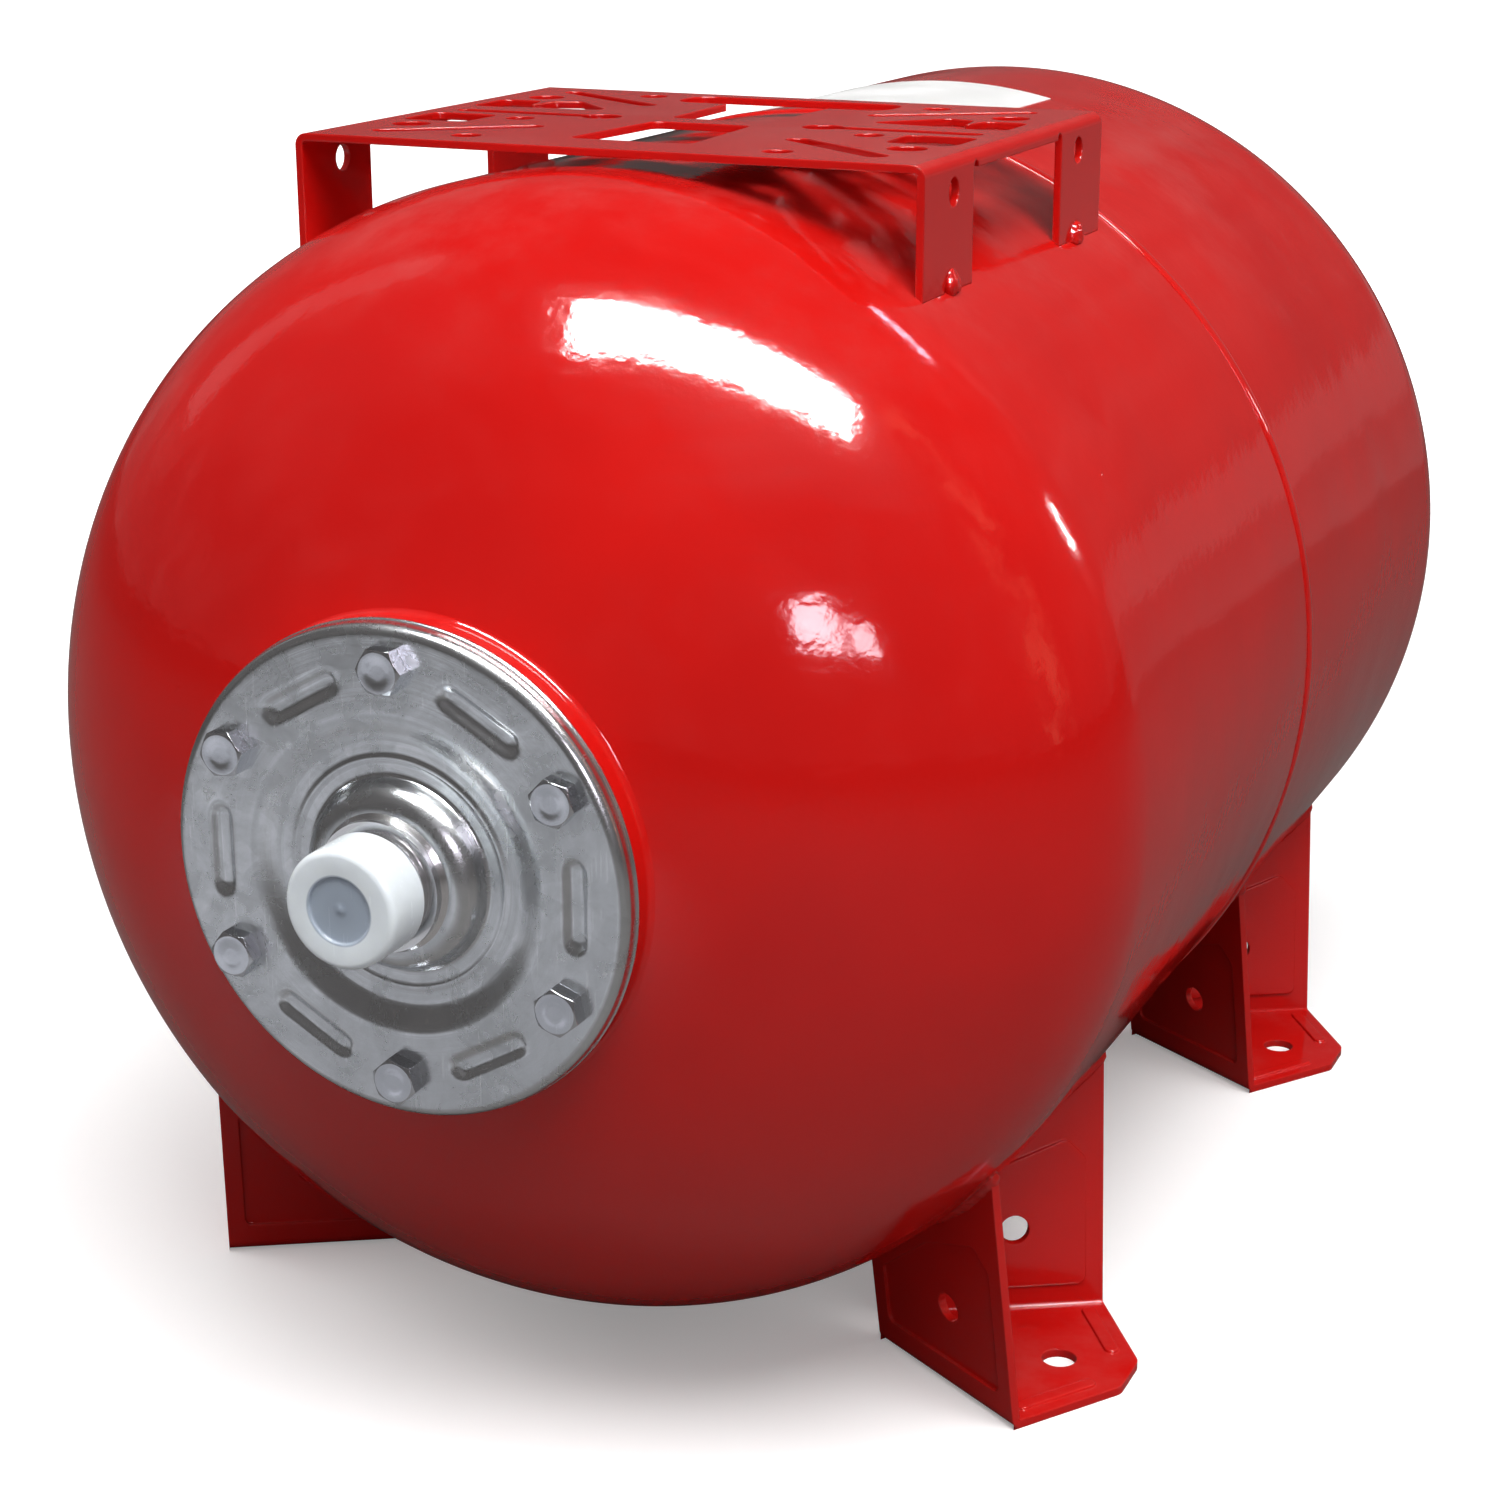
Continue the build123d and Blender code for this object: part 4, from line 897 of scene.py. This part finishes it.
@dataclass
class FootBeads:
    """Weld beads along the top of every foot's webs, wrapped round the end of the sheet."""

    corner_x: float = 153.6 * MM
    corner_half: float = 46.5 * MM
    inner_x: float = 91.0 * MM
    inner_half: float = 8.5 * MM
    lean: float = 7.5
    sheet: float = 3.0 * MM
    fat: float = 3.9 * MM
    steps: int = 60
    sides: int = 16

    def _top(self, lay: Layout, foot_y: float, side: int, end: int, along: float) -> Vector:
        """Point where the middle of a web meets the shell, at a share of the web's length."""
        run = math.hypot(self.corner_x - self.inner_x, self.corner_half - self.inner_half)
        in_x = (self.inner_x - self.corner_x) / run
        in_y = (self.inner_half - self.corner_half) / run
        x = self.corner_x + in_x * run * along
        y = self.corner_half + in_y * run * along
        z = 0.09
        for _ in range(12):
            out = z * math.tan(math.radians(self.lean)) - self.sheet / 2
            px, py = x + in_y * out, y - in_x * out
            place = foot_y + end * py - lay.straight_y
            past = max(0.0, -place, place - STRAIGHT_LENGTH)
            r = SHELL_RADIUS * math.sqrt(1 - (past / HEAD_DEPTH) ** 2)
            z = lay.axis_z - math.sqrt(r * r - px * px)
        return Vector((side * px, foot_y + end * py, z))

    def build(self, lay: Layout, paint: Finish) -> None:
        """Models one bead for each web and joins them."""
        made = []
        deselect()
        for corner in ("front_left", "front_right", "rear_left", "rear_right"):
            low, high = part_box(f"foot_{corner}")
            side = 1 if corner.endswith("right") else -1
            for end in (-1, 1):
                foot_y = (low[1] + high[1]) / 2
                line = [self._top(lay, foot_y, side, end, -0.012 + 1.03 * i / self.steps)
                        for i in range(self.steps + 1)]
                bpy.ops.mesh.primitive_grid_add(x_subdivisions=self.steps, y_subdivisions=self.sides,
                                                size=1.0)
                bead = start_piece(f"foot_bead_{corner}_{end}")

                def wrap(p: Vector, line: list = line) -> Vector:
                    """Rolls the flat grid into a lumpy tube along the line, closed at its ends."""
                    place = min(self.steps - 0.001, max(0.0, (p.x + 0.5) * self.steps))
                    i = int(place)
                    here = line[i].lerp(line[i + 1], place - i)
                    ahead = (line[i + 1] - line[i]).normalized()
                    across = ahead.cross(Vector((0.0, 0.0, 1.0))).normalized()
                    above = across.cross(ahead)
                    turn = (p.y + 0.5) * math.tau
                    taper = math.sqrt(max(0.0, 1 - (2 * place / self.steps - 1) ** 16))
                    lump = 1 + 0.16 * noise.noise(here * 150.0) + 0.10 * noise.noise(here * 420.0)
                    r = self.fat * taper * lump
                    return here + across * r * math.cos(turn) + above * r * 0.85 * math.sin(turn)

                move_points(bead, wrap)
                bpy.ops.mesh.select_all(action="SELECT")
                bpy.ops.mesh.remove_doubles(threshold=1e-5)
                bpy.ops.mesh.normals_make_consistent(inside=False)
                bpy.ops.object.mode_set(mode="OBJECT")
                made.append(bead)
        joined = join_pieces(made, "foot_beads")
        finish_piece(joined, Piece.TANK, paint, "foot_paint", "foot_welds", angle=80)


class CarriedNodes:
    """CAD nodes that keep their shape and only get their finish."""

    def dress(self, table: dict[str, Finish]) -> None:
        """Assigns a finish to every slot of each node.

        Args:
            table: node name to its finish.
        """
        for name, finish in table.items():
            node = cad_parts[name]
            if not node.material_slots:
                node.data.materials.append(finish.material)
            for material_slot in node.material_slots:
                material_slot.material = finish.material
            log.info("%s: dressed in %s", name, finish.material.name)


# ---- Studio ----
@dataclass
class Light:
    """A soft rectangular light that faces a point of the tank."""

    name: str
    azimuth: float
    elevation: float
    distance: float
    size: tuple[float, float]
    power: float
    colour: tuple[float, float, float] = WHITE
    shines: bool = True
    fills: bool = True
    roll: float = 0.0

    def place(self, target: Vector) -> None:
        """Adds the light, seen from the target at its azimuth (from +Y to +X) and elevation."""
        a, e = math.radians(self.azimuth), math.radians(self.elevation)
        away = Vector((math.sin(a) * math.cos(e), math.cos(a) * math.cos(e), math.sin(e)))
        data = bpy.data.lights.new(self.name, "AREA")
        data.shape = "RECTANGLE"
        data.size, data.size_y = self.size
        data.energy = self.power
        data.color = self.colour
        lamp = bpy.data.objects.new(self.name, data)
        bpy.context.collection.objects.link(lamp)
        lamp.location = target + away * self.distance
        turn = away.to_track_quat("Z", "Y") @ Quaternion((0.0, 0.0, 1.0), math.radians(self.roll))
        lamp.rotation_euler = turn.to_euler()
        lamp.visible_glossy = self.shines
        lamp.visible_diffuse = self.fills


@dataclass
class Studio:
    """Pale floor, soft lights and the camera."""

    lens: float = 71.38
    floor: float = 40.0

    def build(self, lay: Layout) -> None:
        """Adds the floor, the world, the lights and the camera."""
        self._floor()
        self._world()
        dome = Vector((0.08, lay.straight_y - 0.06, lay.axis_z + 0.13))
        for light in (
            Light("overhead_window", 145.0, 75.0, 1.5, (1.42, 0.40), 85.0, roll=-24.0, fills=False),
            Light("front_window", 143.0, 20.0, 2.2, (0.30, 0.30), 6.0, (0.97, 0.90, 1.0), fills=False),
            Light("front_pane", 134.0, 18.0, 2.2, (0.22, 0.20), 2.6, (0.97, 0.90, 1.0), fills=False),
            Light("thin_lamp", 22.0, 42.0, 2.4, (0.42, 0.05), 1.6, (1.0, 0.80, 1.0), roll=25.0,
                  fills=False),
            Light("side_lamp", 38.0, 15.0, 2.4, (0.10, 0.26), 3.0, fills=False),
            Light("rear_card", 18.0, -3.0, 2.4, (1.3, 0.50), 0.2, (1.0, 0.98, 0.97), fills=False),
            Light("left_card", -80.0, 32.0, 2.6, (0.35, 1.8), 0.6, fills=False),
            Light("top_light", 128.0, 62.0, 2.6, (2.0, 1.6), 76.0, shines=False),
            Light("room_light", 125.0, 58.0, 6.0, (9.0, 9.0), 200.0, shines=False),
            Light("left_fill", -105.0, 38.0, 3.0, (2.0, 2.0), 34.0, shines=False),
        ):
            light.place(dome)
        self._camera(lay)

    def _floor(self) -> None:
        """Wide sheet of pale paper, which throws only a little light back at the tank, and glows for the
        camera: painted light that whitens the far floor and lifts the shadows near the tank.
        """
        deselect()
        bpy.ops.mesh.primitive_plane_add(size=self.floor, location=(0.0, 0.0, 0.0))
        sheet = start_piece("studio_floor")
        bpy.ops.object.mode_set(mode="OBJECT")
        paper = Finish()
        g, base, where = paper.open("studio_paper")
        tone = g.ramp(g.noise(where, 2.0, 2.0), 0.2, 0.8)
        pale = g.mix(tone, (0.86, 0.86, 0.86, 1), (0.89, 0.89, 0.89, 1))
        path = g.add("LightPath")
        seen = path.outputs["Is Camera Ray"]
        cloud = g.ramp(g.noise(where, 3.2, 4.0, 0.6, 0.8), 0.35, 0.65)
        bright = g.mix(cloud, (0.22, 0.225, 0.24, 1), (0.46, 0.47, 0.50, 1))
        placed = g.add("Mapping", {"Vector": where, "Location": (0.35, 0.85, 0.0)}).outputs[0]
        gap = g.length(placed)
        mirrored = g.mix(g.ramp(gap, 0.34, 0.62), bright, (0.10, 0.095, 0.09, 1))
        thrown = g.mix(path.outputs["Is Glossy Ray"], (0.14, 0.135, 0.135, 1), mirrored)
        g.feed(g.mix(seen, thrown, pale), base.inputs["Base Color"])
        # For the camera the floor glows, a little near the tank and fully far away: painted light.
        away = g.length(where)
        far = g.times(g.ramp(away, 0.55, 2.0, 0.24, 1.0), seen)
        base.inputs["Emission Color"].default_value = (1.0, 1.0, 1.0, 1.0)
        g.feed(far, base.inputs["Emission Strength"])
        base.inputs["Roughness"].default_value = 0.7
        sheet.data.materials.append(paper.material)

    def _world(self) -> None:
        """White surroundings for the camera and a dim room, with a warm shelf, for everything else."""
        world = bpy.data.worlds.new("studio_room")
        bpy.context.scene.world = world
        world.use_nodes = True
        g = Graph(world.node_tree)
        back = next(n for n in world.node_tree.nodes if n.type == "BACKGROUND")
        up = g.axis(g.add("TexCoord").outputs["Generated"], "Z")
        around = g.add("TexCoord").outputs["Generated"]
        patch = g.ramp(g.noise(around, 5.0, 5.0, 0.7, 0.6), 0.46, 0.72)
        calm = g.mix(g.ramp(up, -0.1, 0.9), (0.12, 0.112, 0.11, 1), (0.09, 0.085, 0.085, 1))
        shiny = g.mix(g.times(patch, 0.5), calm, (0.36, 0.33, 0.31, 1))
        across = g.add("VectorMath", {0: around, 1: (0.174, -0.985, 0.0)}, operation="DOT_PRODUCT")
        side = g.axis(around, "X")
        shelf = g.ramp(g.math("ABSOLUTE", across.outputs["Value"]), 0.17, 0.05)
        shelf = g.times(shelf, g.ramp(side, 0.5, 0.6))
        flecks = g.ramp(g.noise(around, 11.0, 5.0, 0.75, 0.9), 0.5, 0.56)
        shelf = g.times(shelf, flecks)
        shiny = g.mix(shelf, shiny, (1.5, 0.62, 0.42, 1))
        dim = g.mix(g.ramp(up, 0.0, 0.9), (0.15, 0.145, 0.145, 1), (0.42, 0.41, 0.41, 1))
        path = g.add("LightPath")
        room = g.mix(path.outputs["Is Glossy Ray"], dim, shiny)
        g.feed(g.mix(path.outputs["Is Camera Ray"], room, (1.0, 1.0, 1.0, 1)), back.inputs["Color"])
        back.inputs["Strength"].default_value = 1.0

    def _camera(self, lay: Layout) -> None:
        """Camera a little above and to the right of the water connection."""
        data = bpy.data.cameras.new("main_camera")
        data.lens = self.lens
        data.sensor_width = 36.0
        camera = bpy.data.objects.new("main_camera", data)
        bpy.context.collection.objects.link(camera)
        camera.location = (0.4308, lay.straight_y - 0.8280, 0.5169)
        camera.rotation_euler = (math.radians(90 - 17.97), math.radians(0.03), math.radians(24.32))
        bpy.context.scene.camera = camera


def main() -> None:
    """Builds the finishes, the pieces and the studio, in order."""
    logging.basicConfig(level=logging.INFO, format="%(name)s: %(message)s")
    effects = Effects()
    lay = Layout.from_frame()
    shell_paint = PaintFinish(effects, "shell_gloss_red")
    sheet_paint = PaintFinish(effects, "sheet_gloss_red", peel=0.7, waves=0.15, round_edges=0.9 * MM)
    bead_paint = PaintFinish(effects, "bead_gloss_red", surface=Surface.BEAD, peel=1.4, waves=0.2)
    zinc = ZincFinish(effects, "galvanised_plate", (0.68, 0.70, 0.72, 1), 0.85, 0.19, 0.7, drawn=lay.axis_z)
    bright = ZincFinish(effects, "bright_zinc", (0.62, 0.64, 0.68, 1), 0.25, 0.13, 0.4,
                        round_edges=0.3 * MM)
    turned = ZincFinish(effects, "turned_zinc", (0.74, 0.74, 0.75, 1), 0.2, 0.18, 0.3, turned=2e-6)
    brass = ZincFinish(effects, "turned_brass", (0.70, 0.50, 0.22, 1), 0.3, 0.22, 0.3, turned=2e-6)
    cap_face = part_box("thread_cap")[0][1]
    disc = ((0.0, cap_face, lay.axis_z), 10.7 * MM, (0.31, 0.36, 0.43, 1))
    milk = PlasticFinish(effects, "milky_cap", (0.80, 0.86, 0.91, 1), 0.26, milky=0.45, disc=disc)
    black = PlasticFinish(effects, "black_cover", (0.022, 0.022, 0.024, 1), 0.42, grain=3.0)
    rubber = RubberFinish("black_rubber")
    film = FilmFinish(effects, "blank_film")
    TankShell().build(lay, shell_paint, film)
    MouthFlange().build(lay, zinc, bright, milk)
    WeldNuggets().build(lay, bead_paint)
    FootBeads().build(lay, bead_paint)
    feet = {f"foot_{e}_{s}": sheet_paint for e in ("front", "rear") for s in ("left", "right")}
    CarriedNodes().dress({
        **feet, "pump_platform": sheet_paint, "mouth_ring": sheet_paint,
        "valve_boss": sheet_paint, "valve_weld": bead_paint,
        "membrane": rubber, "nipple_weld": turned, "connector_nipple": turned, "valve_stem": brass,
        "valve_core": brass, "valve_pin": brass, "valve_spring": turned, "valve_seal": rubber,
        "valve_cover": black})
    Studio().build(lay)
    scene = bpy.context.scene
    scene.view_settings.view_transform = "Standard"
    log.info("sizes written")


if __name__ == "__main__":
    main()
